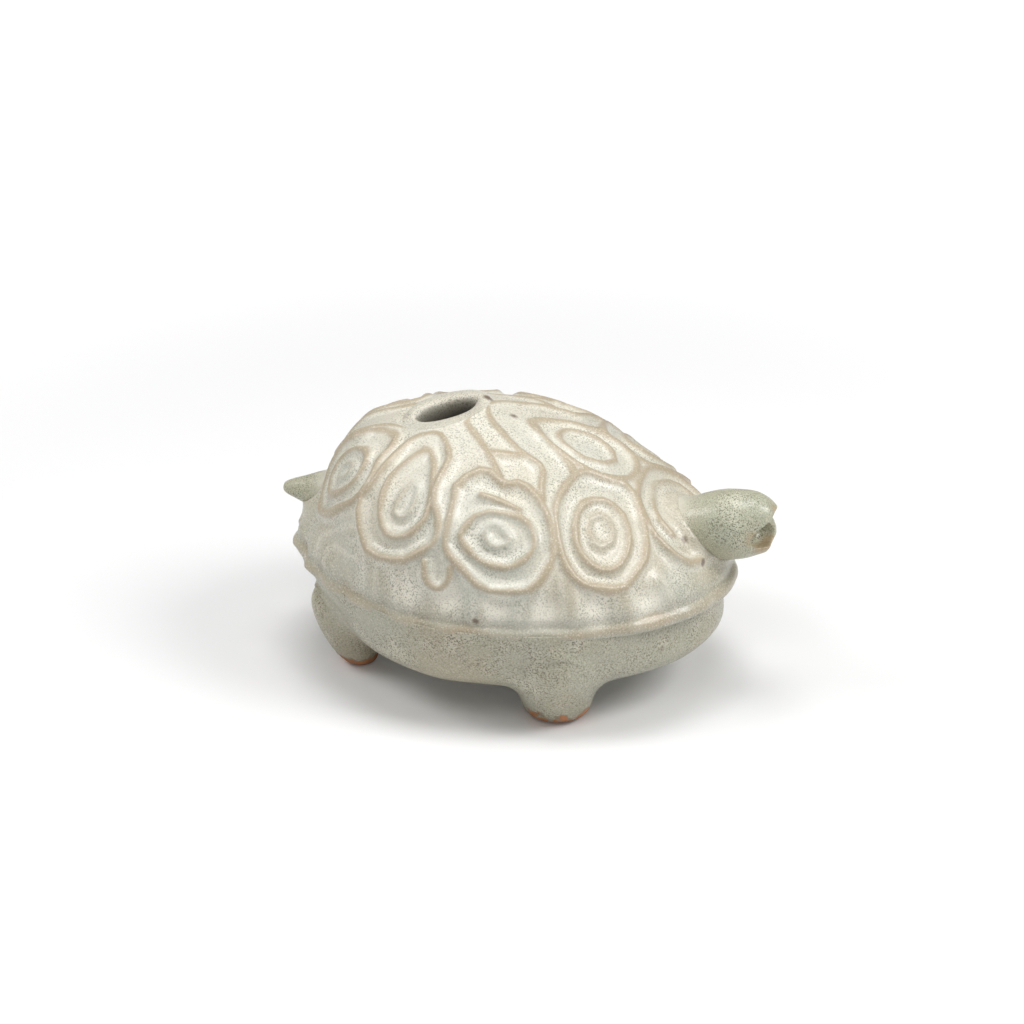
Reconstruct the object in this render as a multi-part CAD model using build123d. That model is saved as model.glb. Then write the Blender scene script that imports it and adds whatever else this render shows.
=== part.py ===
from build123d import *
import os
from math import atan2, cos, hypot, pi, radians, sin

os.makedirs("parts", exist_ok=True)

# A water dropper in the form of a standing tortoise, in glazed stoneware. The pieces are the ones
# that a potter moulds or models apart and joins with slip before the firing.
# Millimetres. +X runs towards the head, +Y to the tortoise's left, +Z up, and the feet stand on Z = 0.
# The origin lies under the middle of the whole length, from the tip of the tail to the tip of the beak.

# Shell seen from above: an egg with its blunt end at the tail
front_reach = 47.2
rear_reach = 36.9
half_width = 36.2
rim_height = 23.6
dome_height = 31.6
summit_lean = 4.2
front_bow = 1.57
rear_bow = 2.77
side_bow = 1.99
wall = 3.6
cap_share = 0.12
lean_start_share = 0.2

# Belly: a bowl a little smaller than the rim of the shell, with a flat underside
belly_depth = 17.7
belly_inset = 0.5
belly_bow = 3.6

# Relief: raised lines round the scutes, and the drawn-out edge of the shell
ridge_width = 1.9
ridge_height = 0.9
relief_depth_share = 0.3
skirt_lip = 0.9
skirt_height = 12.0

# Filling hole, with a low collar that leans towards the tail
hole_radius = 6.2
hole_tilt = 12.0
collar_width = 1.9
collar_flare = 1.3
collar_height = 1.3
hole_along_share = -0.075

# Head: how far the beak stands ahead of the shell, and the height of its tip
beak_reach = 8.9
beak_height = 40.7
head_pitch = 9.0
head_length = 17.9
head_radius = 7.1
neck_radius = 5.6
neck_bury = 8.0
beak_rise = 2.5
mouth_depth = 2.4
mouth_rise = 0.4
lip_setback = 1.2
lip_drop = 2.1
lip_thickness = 1.3
chin_setback = 3.4
chin_drop = 6.5
brow_setback = 2.5
brow_rise = 6.9
spout_radius = 2.0
spout_drop = 1.4

# Tail: a blunt cone
tail_reach = 11.3
tail_height = 33.2
tail_radius = 5.9
tail_tip_radius = 1.9
tail_bury = 3.0

# Front legs: how far inside the shell's end and side the foot stands, and the leg's size and lean
front_leg_setback = 30.2
front_leg_inset = 12.4
front_leg_height = 22.0
front_leg_radius = 8.2
front_leg_lean = 4.0
front_leg_sweep = 0.4

# Rear legs, thinner and closer together
rear_leg_setback = 7.9
rear_leg_inset = 25.2
rear_leg_height = 20.0
rear_leg_radius = 5.8
rear_leg_lean = 4.5
rear_leg_sweep = 2.2

# Places on the shell laid flat as a disc of radius 1: towards the head, then to the left.
# The summit is at the middle and the rim is the edge. Side scutes are given for the right side.
front_scute_shares = (
    (0.55, 0.0),
    (0.55, -0.11),
    (0.60, -0.24),
    (0.67, -0.29),
    (0.76, -0.28),
    (0.83, -0.20),
    (0.86, 0.0),
)
crown_scute_shares = (
    (0.22, 0.0),
    (0.24, -0.06),
    (0.31, -0.12),
    (0.385, -0.165),
    (0.46, -0.14),
    (0.52, -0.07),
    (0.53, 0.0),
)
rear_scute_shares = (
    (-0.20, 0.0),
    (-0.21, -0.13),
    (-0.35, -0.09),
    (-0.50, -0.08),
    (-0.62, 0.0),
)
middle_scute_shares = (
    ((0.0, -0.13), (0.04, -0.20), (0.11, -0.29), (0.15, -0.385)),
    ((0.10, -0.03), (0.13, -0.12), (0.18, -0.19), (0.275, -0.24), (0.285, -0.40)),
    ((0.11, -0.27), (0.19, -0.24), (0.23, -0.21)),
)
side_scute_shares = (
    (
        (0.39, -0.18),
        (0.345, -0.30),
        (0.33, -0.43),
        (0.36, -0.56),
        (0.46, -0.66),
        (0.59, -0.60),
        (0.635, -0.42),
        (0.60, -0.25),
        (0.53, -0.12),
        (0.46, -0.155),
    ),
    (
        (-0.01, -0.40),
        (0.08, -0.33),
        (0.15, -0.38),
        (0.21, -0.345),
        (0.28, -0.40),
        (0.32, -0.51),
        (0.325, -0.62),
        (0.28, -0.75),
        (0.10, -0.80),
        (0.01, -0.73),
        (-0.03, -0.65),
        (-0.015, -0.52),
    ),
    (
        (-0.385, -0.45),
        (-0.42, -0.56),
        (-0.40, -0.65),
        (-0.25, -0.71),
        (-0.10, -0.66),
        (-0.08, -0.56),
        (-0.09, -0.40),
        (-0.05, -0.29),
        (-0.09, -0.225),
        (-0.24, -0.30),
        (-0.31, -0.39),
    ),
    (
        (-0.72, -0.27),
        (-0.62, -0.37),
        (-0.48, -0.425),
        (-0.395, -0.42),
        (-0.32, -0.37),
        (-0.24, -0.25),
        (-0.30, -0.15),
        (-0.42, -0.12),
        (-0.58, -0.13),
        (-0.67, -0.18),
    ),
)
scute_ring_shares = (1.0, 0.62, 0.28)
crown_ring_shares = (1.0, 0.5)
lobe_inner_share = 0.84
lobe_outer_share = 0.97
lobe_bearings = (16, 35, 54, 73, 93, 113, 135, 158)

# Outlines of the modelled pieces, as shares of their length or height and of their radius
head_profile_shares = (
    (0.15, 0.88),
    (0.30, 0.97),
    (0.45, 1.0),
    (0.60, 0.98),
    (0.73, 0.91),
    (0.84, 0.79),
    (0.93, 0.62),
    (1.0, 0.40),
    (1.06, 0.0),
)
front_leg_shares = (
    (0.0, 0.74),
    (0.05, 0.85),
    (0.22, 0.95),
    (0.45, 1.0),
    (0.68, 0.92),
    (0.90, 0.66),
    (1.0, 0.40),
)
rear_leg_shares = (
    (0.0, 0.42),
    (0.06, 0.62),
    (0.18, 0.80),
    (0.45, 0.98),
    (0.70, 1.0),
    (0.90, 0.75),
    (1.0, 0.45),
)

# Station of the shell's greatest width, which centres the whole length on the origin
middle_x = (rear_reach + tail_reach - front_reach - beak_reach) / 2
beak_x = middle_x + front_reach + beak_reach
tail_x = middle_x - rear_reach - tail_reach


def shrink(share, bow):
    """Share of its full reach that an outline keeps at a share of the height."""
    return (1 - share**bow) ** (1 / bow)


def handle(bow):
    """Handle share of the cubic curve that meets an outline of this bow at its shoulder."""
    return (0.5 ** (1 / bow) - 0.5) / 0.375


def quarter_patch(reach, side, height, bow, bow_at_side, lean, z):
    """Quarter of a dome as one smooth patch, from its rim at z to a small level top."""
    rows = []
    for along, across in ((1, 0), (1, handle(2)), (handle(2), 1), (0, 1)):
        full = handle(bow if along == 1 else bow_at_side)
        nets = ((1, 0, 0), (1, full, lean_start_share), (full, 1, 1), (cap_share, 1, 1))
        rows.append(
            [
                (middle_x - lean * back + reach * along * keep, side * across * keep, z + height * up)
                for keep, up, back in nets
            ]
        )
    return Face.make_bezier_surface(rows)


def egg_dome(front, rear, side, height, bows, lean, z):
    """Closed egg-shaped dome over a level rim at z. A negative height makes a bowl."""
    right = [
        quarter_patch(front, -side, height, bows[0], bows[2], lean, z),
        quarter_patch(-rear, -side, height, bows[1], bows[2], lean, z),
    ]
    sides = Shell(right + [mirror(face, about=Plane.XZ) for face in right])
    lids = [level_lid(sides, level, abs(height) / 2) for level in (z, z + height)]
    return Solid(Shell(sides.faces() + lids))


def level_lid(sides, level, near):
    """Flat face across the opening of the walls whose edges start and end near a level."""
    rim = [e for e in sides.edges() if all(abs((e @ end).Z - level) < near for end in (0, 1))]
    return Face(Wire(rim))


def dome(lift=0):
    """The dome of the shell above its rim, grown outwards by lift."""
    return egg_dome(
        front_reach + lift,
        rear_reach + lift,
        half_width + lift,
        dome_height + lift,
        (front_bow, rear_bow, side_bow),
        summit_lean,
        rim_height,
    )


def bowl(lift=0):
    """The belly below the rim, grown outwards by lift."""
    inset = belly_inset - lift
    return egg_dome(
        front_reach - inset,
        rear_reach - inset,
        half_width - inset,
        -belly_depth - lift,
        (belly_bow, belly_bow, belly_bow),
        0,
        rim_height,
    )


def on_shell(place):
    """Point of the dome for a place on the shell laid flat as a disc."""
    along, across = place
    bearing = atan2(across, along)
    up = cos(hypot(along, across) * pi / 2)
    reach = front_reach * shrink(up, front_bow) if along > 0 else rear_reach * shrink(up, rear_bow)
    side = half_width * shrink(up, side_bow)
    x = middle_x - summit_lean * up**1.5
    return Vector(x + reach * cos(bearing), side * sin(bearing), rim_height + dome_height * up)


def shell_plane(place):
    """Plane that touches the dome at a place, with its Z pointing outwards."""
    small_share = 0.01
    origin = on_shell(place)
    ahead = on_shell((place[0] + small_share, place[1])) - origin
    left = on_shell((place[0], place[1] + small_share)) - origin
    return Plane(origin, x_dir=ahead, z_dir=ahead.cross(left))


def centre_of(places):
    """Middle of an outline on the flat shell."""
    return tuple(sum(p[i] for p in places) / len(places) for i in (0, 1))


def raised(plane, flat, crest):
    """Stands a flat outline up from the dome as a line that ends at the crest surface."""
    reach = relief_depth_share * dome_height
    return (extrude(plane * flat, reach, both=True) & crest).solids()


def scute(places, ring_shares, crest):
    """Raised rings of one scute, each a smaller copy of its outline."""
    plane = shell_plane(centre_of(places))
    corners = [plane.to_local_coords(on_shell(p)) for p in places]
    mean_reach = sum(hypot(c.X, c.Y) for c in corners) / len(corners)
    margin_share = ridge_width / mean_reach / 2
    rings = Sketch()
    for share in ring_shares:
        rings += polygon(corners, share + margin_share) - polygon(corners, share - margin_share)
    return raised(plane, rings, crest)


def polygon(corners, share):
    """Flat face through corners, scaled about the origin of their plane."""
    return make_face(Polyline(*[(c.X * share, c.Y * share) for c in corners], close=True))


def line_on_shell(places, crest):
    """Raised line that follows places on the flat shell."""
    plane = shell_plane(centre_of(places))
    corners = [plane.to_local_coords(on_shell(p)) for p in places]
    return raised(plane, trace(Polyline(*[(c.X, c.Y) for c in corners]), ridge_width), crest)


def both_sides(places):
    """Outline closed across the middle line from its right half."""
    left = [(along, -across) for along, across in reversed(places) if across]
    return tuple(places) + tuple(left)


def shell_half():
    """Right half of the carapace before it is hollowed: dome, scutes, skirt and collar."""
    crest = dome(ridge_height)
    relief = []
    for places in side_scute_shares:
        relief += scute(places, scute_ring_shares, crest)
    relief += scute(both_sides(front_scute_shares), crown_ring_shares, crest)
    relief += scute(both_sides(crown_scute_shares), crown_ring_shares, crest)
    relief += scute(both_sides(rear_scute_shares), crown_ring_shares[:1], crest)
    for places in middle_scute_shares:
        relief += line_on_shell(places, crest)
    for bearing in lobe_bearings:
        along = cos(radians(bearing))
        across = -sin(radians(bearing))
        ends = [(s * along, s * across) for s in (lobe_inner_share, lobe_outer_share)]
        relief += line_on_shell(ends, crest)
    collar_foot = hole_radius + collar_width + collar_flare
    collar = Cone(collar_foot, hole_radius + collar_width, 2 * collar_height)
    whole = dome() + relief + skirt() + hole_plane() * collar
    return whole & right_side()


def skirt():
    """Flatter and wider dome whose rim draws the shell's edge out into a lip."""
    return egg_dome(
        front_reach + skirt_lip,
        rear_reach + skirt_lip,
        half_width + skirt_lip,
        skirt_height,
        (side_bow, side_bow, side_bow),
        0,
        rim_height,
    )


def right_side():
    """Block of space that holds the right half of the object."""
    length = 2 * (beak_x - tail_x)
    return Pos(0, -length / 2, 0) * Box(length, length, length)


def hole_plane():
    """Plane of the filling hole, level with the dome there and tilted towards the tail."""
    return Plane(on_shell((hole_along_share, 0))) * Rot(0, -hole_tilt, 0)


def place_head(shape):
    """Moves a shape from the head's own frame, neck at the origin and beak along X, to its place."""
    pitch = Rot(0, -head_pitch, 0)
    tip = pitch * Pos(head_length, 0, beak_rise)
    offset_to_tip = Vector(beak_x, 0, beak_height) - tip.position
    return Pos(offset_to_tip) * pitch * shape


def head():
    """Neck and head in one piece, with the notched beak."""
    nose = [(s * head_length, r * head_radius) for s, r in head_profile_shares]
    outline = Polyline((-neck_bury, 0), (-neck_bury, neck_radius), (0, neck_radius), *nose, close=True)
    skull = revolve(Plane.XZ * make_face(outline), Axis.X)
    return skull - muzzle_cut()


def muzzle_cut():
    """What is cut away in front of the face: the slope over the beak, the mouth and the chin."""
    far = 2 * head_radius
    tip = (head_length, beak_rise)
    corner = (head_length - mouth_depth, mouth_rise)
    lip_x = head_length - lip_setback
    profile = Polyline(
        (head_length - brow_setback, brow_rise),
        tip,
        corner,
        (lip_x, -lip_drop),
        (lip_x, -lip_drop - lip_thickness),
        (head_length - chin_setback, -chin_drop),
        (head_length - chin_setback, -far),
        (head_length + far, -far),
        (head_length + far, far),
        (head_length - brow_setback, far),
        close=True,
    )
    return extrude(Plane.XZ * make_face(profile), far, both=True)


def spout():
    """Bore from the mouth through the neck and the shell's wall into the water chamber."""
    length = head_length + neck_bury + 2 * wall
    bore = Cylinder(spout_radius, length, rotation=(0, 90, 0))
    return place_head(Pos(head_length - length / 2, 0, -spout_drop) * bore)


def tail():
    """Cone with a rounded tip that points straight back."""
    length = tail_reach + tail_bury
    cone = Cone(tail_radius, tail_tip_radius, length)
    rounded = fillet(cone.edges().sort_by(Axis.Z)[-1], 0.8 * tail_tip_radius)
    return Pos(tail_x + length / 2, 0, tail_height) * Rot(0, -90, 0) * rounded


def leg(foot_x, foot_y, height, radius, sweep, lean, shares):
    """Turned leg that leans out as it rises, cut level under the foot."""
    rise = Vector(-sweep, -lean, height)
    side = [(radius * thick, rise.length * up) for up, thick in shares]
    sole_radius = side[0][0]
    foot = [(0, -sole_radius), (sole_radius, -sole_radius)]
    turned = revolve(Plane.XZ * make_face(Polyline(*foot, *side, (0, rise.length), close=True)), Axis.Z)
    ground = Pos(foot_x, foot_y, -radius) * Box(4 * radius, 4 * radius, 2 * radius)
    return Plane((foot_x, foot_y, 0), z_dir=rise) * turned - ground


def carapace_half(half):
    """Right half of the shell, hollowed from below, with its filling hole and spout passage."""
    drill = Cylinder(hole_radius, 4 * (wall + collar_height))
    return half - dome(-wall) - hole_plane() * drill - spout()


def belly():
    """Lower bowl that closes the water chamber."""
    return bowl() - bowl(belly_inset - wall)


def both(half):
    """Joins a right half with its mirror image."""
    return half + mirror(half, about=Plane.XZ)


half = shell_half()
block = both(half)
body_half = half + bowl()
front_leg = leg(
    middle_x + front_reach - front_leg_setback,
    front_leg_inset - half_width,
    front_leg_height,
    front_leg_radius,
    front_leg_sweep,
    front_leg_lean,
    front_leg_shares,
)
rear_leg = leg(
    middle_x - rear_reach + rear_leg_setback,
    rear_leg_inset - half_width,
    rear_leg_height,
    rear_leg_radius,
    rear_leg_sweep,
    rear_leg_lean,
    rear_leg_shares,
)
front_right_leg = front_leg - body_half
rear_right_leg = rear_leg - body_half
pieces = {
    "carapace": both(carapace_half(half)),
    "belly": belly(),
    "head": place_head(head()) - block - spout(),
    "tail": tail() - block,
    "front_right_leg": front_right_leg,
    "front_left_leg": mirror(front_right_leg, about=Plane.XZ),
    "rear_right_leg": rear_right_leg,
    "rear_left_leg": mirror(rear_right_leg, about=Plane.XZ),
}
for name, piece in pieces.items():
    piece.label = name
    export_step(piece, f"parts/{name}.step")
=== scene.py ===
"""Looks of a tortoise-shaped water dropper in glazed stoneware.

Metres, in the frame of the solids: +X towards the head, +Y to the tortoise's left, +Z up, feet on Z = 0.
"""

import logging
import math
from dataclasses import dataclass
from enum import Enum
from functools import cached_property, partial
from typing import Callable

import bpy
import numpy as np
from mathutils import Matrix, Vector


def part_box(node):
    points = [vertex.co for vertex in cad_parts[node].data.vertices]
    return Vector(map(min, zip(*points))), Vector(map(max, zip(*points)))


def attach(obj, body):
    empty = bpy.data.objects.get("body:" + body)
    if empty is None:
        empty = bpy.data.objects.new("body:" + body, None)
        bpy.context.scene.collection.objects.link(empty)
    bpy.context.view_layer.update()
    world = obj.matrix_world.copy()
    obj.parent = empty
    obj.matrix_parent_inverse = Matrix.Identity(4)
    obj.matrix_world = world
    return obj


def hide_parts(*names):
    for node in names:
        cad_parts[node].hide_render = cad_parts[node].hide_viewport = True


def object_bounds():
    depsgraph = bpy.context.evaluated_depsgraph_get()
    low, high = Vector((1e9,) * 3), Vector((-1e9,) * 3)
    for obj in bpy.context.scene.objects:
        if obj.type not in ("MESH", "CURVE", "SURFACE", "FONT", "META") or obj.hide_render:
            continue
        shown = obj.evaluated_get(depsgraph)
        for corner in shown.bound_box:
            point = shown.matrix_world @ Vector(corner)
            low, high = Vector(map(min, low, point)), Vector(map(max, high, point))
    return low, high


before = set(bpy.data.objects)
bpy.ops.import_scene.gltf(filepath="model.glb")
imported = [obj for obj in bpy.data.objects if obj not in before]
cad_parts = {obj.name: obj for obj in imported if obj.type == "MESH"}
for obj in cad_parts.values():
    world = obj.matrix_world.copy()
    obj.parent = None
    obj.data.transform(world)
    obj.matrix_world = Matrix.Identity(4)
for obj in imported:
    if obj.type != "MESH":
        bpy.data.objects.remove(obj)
cad_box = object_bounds()

log = logging.getLogger("water_dropper")

Array = np.ndarray
Field = Callable[[Array], Array]
Piece = bpy.types.Object
Material = bpy.types.Material
Place = tuple[float, float]
Point = tuple[float, float, float]
Colour = tuple[float, float, float]

TINY = 1e-12


class Slot(Enum):
    """Material slots of the record."""

    SHELL = "shell_glaze"
    BELLY = "belly_glaze"
    HEAD = "head_glaze"


# Shapes in numbers


def smooth_step(value: Array, low: float, high: float) -> Array:
    """Share from 0 at low to 1 at high, level at both ends."""
    share = np.clip((value - low) / (high - low), 0, 1)
    return share * share * (3 - 2 * share)


def bump(value: Array, width: float) -> Array:
    """1 where the value is 0, fading over a width."""
    return np.exp(-((value / width) ** 2))


def swell(near: Array, reach: float) -> Array:
    """Height of the soft joint on one surface, from its distance to the other one.

    Args:
        near: Distances to the other surface, negative inside it.
        reach: Distance at which the joint begins.

    Returns:
        How far the surface rises. Both surfaces then meet on one rounded line.
    """
    root = np.sqrt(np.clip(near, 0, reach))
    curve = (math.sqrt(reach) - root) ** 2
    return np.where(near > reach / 4, curve, np.clip(reach / 2 - np.abs(near), 0, None))


@dataclass(frozen=True)
class Waves:
    """Crossed waves that add up to the unevenness of a hand-made surface."""

    count: int = 5
    turn: float = 1.9
    tilt: float = 0.7
    tilt_turn: float = 2.3
    first_pitch: float = 0.7
    added_pitch: float = 0.16
    shift: float = 3.1


def hand_noise(points: Array, size: float, seed: float, waves: Waves = Waves()) -> Array:
    """Soft unevenness of a hand-made surface, from -1 to 1.

    Args:
        points: Places in metres.
        size: Width of one swell in metres.
        seed: Turns the pattern.
        waves: What it is made of.

    Returns:
        One value for each point.
    """
    total = np.zeros(len(points))
    for number in range(waves.count):
        angle = seed + waves.turn * number
        way = np.array((math.cos(angle), math.sin(angle), waves.tilt * math.sin(waves.tilt_turn * angle)))
        wave = way * (2 * math.pi / size) * (waves.first_pitch + waves.added_pitch * number)
        total += np.sin(points @ wave + waves.shift * angle)
    return total / waves.count


def smoothed(corners: Array, closed: bool, rounds: int) -> Array:
    """Line with its corners cut off, a quarter of each side at a time.

    Args:
        corners: The line's corners.
        closed: Whether its last corner leads back to the first.
        rounds: How often the corners are cut.

    Returns:
        The rounder line.
    """
    for _ in range(rounds):
        ahead = np.roll(corners, -1, axis=0)
        pair = np.stack((0.75 * corners + 0.25 * ahead, 0.25 * corners + 0.75 * ahead), axis=1)
        cut = pair.reshape(-1, corners.shape[1])
        corners = cut if closed else np.vstack((corners[:1], cut[:-2], corners[-1:]))
    return corners


def along_section(corners: tuple[Place, ...], turn: Array) -> tuple[Array, Array]:
    """Reads a rounded outline at shares of the way along it.

    Args:
        corners: The outline before it is rounded.
        turn: Shares of the way.

    Returns:
        Its first and its second measure at each share.
    """
    line = smoothed(np.array(corners), False, 2)
    steps = np.linspace(0, 1, len(line))
    return np.interp(turn, steps, line[:, 0]), np.interp(turn, steps, line[:, 1])


def line_distance(points: Array, line: Array, far: float = 0.006) -> Array:
    """Distance of each point to a line through corners.

    Args:
        points: Places in metres.
        line: The line's corners.
        far: Distance past which a point is left at that.

    Returns:
        One distance for each point.
    """
    best = np.full(len(points), far)
    near = np.all((points > line.min(axis=0) - far) & (points < line.max(axis=0) + far), axis=1)
    kept = np.flatnonzero(near)
    for start, end in zip(line[:-1], line[1:]):
        middle, room = (start + end) / 2, far + np.linalg.norm(end - start) / 2
        close = kept[np.all(np.abs(points[kept] - middle) < room, axis=1)]
        run = end - start
        offset = points[close] - start
        share = np.clip(offset @ run / max(run @ run, TINY), 0, 1)
        best[close] = np.minimum(best[close], np.linalg.norm(offset - share[:, None] * run, axis=1))
    return best


def blended(first: Array, second: Array, share: Array) -> Array:
    """Places a share of the way from the first ones to the second ones."""
    return first * (1 - share)[:, None] + second * share[:, None]


def compass(bearing: Array) -> Array:
    """Directions on the flat for angles round the shell from the head."""
    return np.stack((np.cos(bearing), np.sin(bearing)), axis=1)


def inside_box(points: Array) -> Array:
    """Places held inside the box of the solids."""
    return np.clip(points, np.array(cad_box[0]), np.array(cad_box[1]))


@dataclass(frozen=True)
class ShellForm:
    """The plain egg-shaped body under the relief: a dome above the rim and a bowl below it."""

    front_reach: float = 0.0472
    rear_reach: float = 0.0369
    half_width: float = 0.0362
    rim_height: float = 0.0236
    dome_height: float = 0.0316
    summit_lean: float = 0.0042
    front_bow: float = 1.57
    rear_bow: float = 2.77
    side_bow: float = 1.99
    belly_depth: float = 0.0177
    belly_inset: float = 0.0005
    belly_bow: float = 3.6
    wall: float = 0.0036
    lip: float = 0.0009
    step: float = 0.00002
    least_slope: float = 1e-9
    buried_share: float = 0.75

    @cached_property
    def middle_x(self) -> float:
        """Station of the greatest width, from the carapace of the frame."""
        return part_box("carapace")[0].x + self.lip + self.rear_reach

    def dome(self, places: Array, inset: float = 0.0) -> Array:
        """Points of the dome.

        Args:
            places: Places on the shell laid flat as a disc of radius 1.
            inset: How far below the outer surface.

        Returns:
            One point for each place.
        """
        along, across = places[:, 0], places[:, 1]
        bearing = np.arctan2(across, along)
        up = np.cos(np.clip(np.hypot(along, across), 0, 1) * math.pi / 2)
        ahead = (self.front_reach - inset) * self.keep(up, self.front_bow)
        behind = (self.rear_reach - inset) * self.keep(up, self.rear_bow)
        reach = np.where(np.cos(bearing) > 0, ahead, behind)
        side = (self.half_width - inset) * self.keep(up, self.side_bow)
        x = self.middle_x - self.summit_lean * up**1.5 + reach * np.cos(bearing)
        z = self.rim_height + (self.dome_height - inset) * up
        return np.stack((x, side * np.sin(bearing), z), axis=1)

    @staticmethod
    def keep(share: Array, bow: float) -> Array:
        """Share of the full reach that an outline keeps at a share of the height."""
        return np.clip(1 - np.clip(share, 0, 1) ** bow, 0, None) ** (1 / bow)

    def dome_normals(self, places: Array, small: float = 0.004) -> Array:
        """Outward directions of the dome.

        Args:
            places: Places on the flat shell.
            small: Step on the flat shell over which the slope is taken.

        Returns:
            One unit direction for each place.
        """
        ahead = self.dome(places + (small, 0)) - self.dome(places - (small, 0))
        left = self.dome(places + (0, small)) - self.dome(places - (0, small))
        normals = np.cross(ahead, left)
        return normals / np.maximum(np.linalg.norm(normals, axis=1), TINY)[:, None]

    def bowl(self, down: Array, bearing: Array, inset: float = 0.0) -> Array:
        """Points of the belly's surface.

        Args:
            down: Angle from the rim, 0, to the middle of the underside, half pi.
            bearing: Angle round the belly from the head.
            inset: How far inside the outer surface.

        Returns:
            One point for each pair of angles.
        """
        power = 2 / self.belly_bow
        keep = np.clip(np.cos(down), 0, 1) ** power
        sink = np.clip(np.sin(down), 0, 1) ** power
        inset_all = self.belly_inset + inset
        reach = np.where(np.cos(bearing) > 0, self.front_reach, self.rear_reach) - inset_all
        x = self.middle_x + reach * keep * np.cos(bearing)
        y = (self.half_width - inset_all) * keep * np.sin(bearing)
        z = self.rim_height - (self.belly_depth - inset) * sink
        return np.stack((x, y, z), axis=1)

    def dome_field(self, points: Array) -> Array:
        """Measure of the dome.

        Args:
            points: Places in metres.

        Returns:
            0 on the dome, negative inside and positive outside.
        """
        up = np.clip((points[:, 2] - self.rim_height) / self.dome_height, 0, 0.999)
        x = points[:, 0] - self.middle_x + self.summit_lean * up**1.5
        ahead = self.front_reach * self.keep(up, self.front_bow)
        behind = self.rear_reach * self.keep(up, self.rear_bow)
        side = self.half_width * self.keep(up, self.side_bow)
        return np.hypot(x / np.where(x > 0, ahead, behind), points[:, 1] / side) - 1

    def bowl_field(self, points: Array) -> Array:
        """Measure of the belly.

        Args:
            points: Places in metres.

        Returns:
            0 on the belly, negative inside and positive outside.
        """
        down = np.clip((self.rim_height - points[:, 2]) / self.belly_depth, 0, 1.6)
        reach = np.where(points[:, 0] > self.middle_x, self.front_reach, self.rear_reach) - self.belly_inset
        x = (points[:, 0] - self.middle_x) / reach
        y = points[:, 1] / (self.half_width - self.belly_inset)
        return (np.hypot(x, y) ** self.belly_bow + down**self.belly_bow) ** (1 / self.belly_bow) - 1

    def slope(self, field: Field, points: Array, axis: Array) -> Array:
        """Change of a measure along an axis, for each metre."""
        return (field(points + self.step * axis) - field(points - self.step * axis)) / (2 * self.step)

    def distance(self, points: Array, field: Field) -> tuple[Array, Array]:
        """Signed distance to a surface of the body, and the outward direction there.

        Args:
            points: Places in metres.
            field: The surface's measure.

        Returns:
            Distances, and unit directions.
        """
        foot = points.copy()
        for _ in range(3):
            value = field(foot)
            slope = np.stack([self.slope(field, foot, axis) for axis in np.eye(3)], axis=1)
            size = np.maximum((slope**2).sum(axis=1), self.least_slope)
            foot = foot - slope * (value / size)[:, None]
        out = slope / np.sqrt(size)[:, None]
        return ((points - foot) * out).sum(axis=1), out

    def gap(self, field: Field, points: Array) -> Array:
        """Signed distance to a surface of the body."""
        return self.distance(points, field)[0]

    def hold_buried(self, points: Array, field: Field) -> Array:
        """Holds a limb's hidden end inside the body's wall.

        Args:
            points: Places of the limb.
            field: The measure of the body's surface that the limb grows from.

        Returns:
            The places, none deeper than most of the wall.
        """
        for _ in range(2):
            depth, out = self.distance(points, field)
            points = points + out * np.clip(-self.buried_share * self.wall - depth, 0, None)[:, None]
        return points


BODY = ShellForm()


@dataclass(frozen=True)
class Limb:
    """A turned piece along a straight centreline, such as a leg, the neck or the tail.

    The profile gives the share of the way from start to end, and the share of the radius there.
    """

    start: Point
    end: Point
    profile: tuple[Place, ...]
    radius: float = 1.0
    level: bool = False

    def axes(self) -> tuple[Array, Array, Array]:
        """Works out how the limb lies.

        Returns:
            The run from start to end, and two directions across it.
        """
        run = np.array(self.end) - np.array(self.start)
        if self.level:
            return run, np.array((1.0, 0, 0)), np.array((0, 1.0, 0))
        along = run / np.linalg.norm(run)
        side = np.cross((0, 0, 1.0), along)
        side = side / np.linalg.norm(side)
        return run, side, np.cross(along, side)

    def curve(self) -> tuple[Array, Array]:
        """Dense and rounded profile: shares of the way, and radii."""
        line = smoothed(np.array(self.profile), False, 3)
        return line[:, 0], line[:, 1] * self.radius

    def distance(self, points: Array) -> Array:
        """Signed distance to the limb's side, which has no ends.

        Args:
            points: Places in metres.

        Returns:
            One distance for each point.
        """
        run, side, up = self.axes()
        offset = points - np.array(self.start)
        if self.level:
            share = offset[:, 2] / run[2]
        else:
            share = offset @ run / (run @ run)
        shares, radii = self.curve()
        order = np.argsort(shares)
        radius = np.interp(share, shares[order], radii[order])
        across = offset - share[:, None] * run
        return np.linalg.norm(across, axis=1) - radius


# The relief of the shell: places on the shell laid flat as a disc of radius 1, towards the head
# and then to the left. The summit is at the middle and the rim is the edge.


@dataclass(frozen=True)
class Roll:
    """A soft raised line on the shell."""

    places: tuple[Place, ...]
    height: float
    width: float
    closed: bool = True
    mirrored: bool = True

    def paths(self) -> list[Array]:
        """Lays the line on the dome.

        Returns:
            The line, and its mirror image where it has one.
        """
        flat = np.array(self.places)
        if self.closed and not self.mirrored:
            flat = np.vstack((flat, (flat * (1, -1))[::-1]))
        line = smoothed(flat, self.closed, 1)
        if self.closed:
            line = np.vstack((line, line[:1]))
        middles = (line[:-1] + line[1:]) / 2
        fine = np.empty((2 * len(line) - 1, 2))
        fine[0::2], fine[1::2] = line, middles
        sides = [fine, fine * (1, -1)] if self.mirrored or not self.closed else [fine]
        return [BODY.dome(side) for side in sides]


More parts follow.
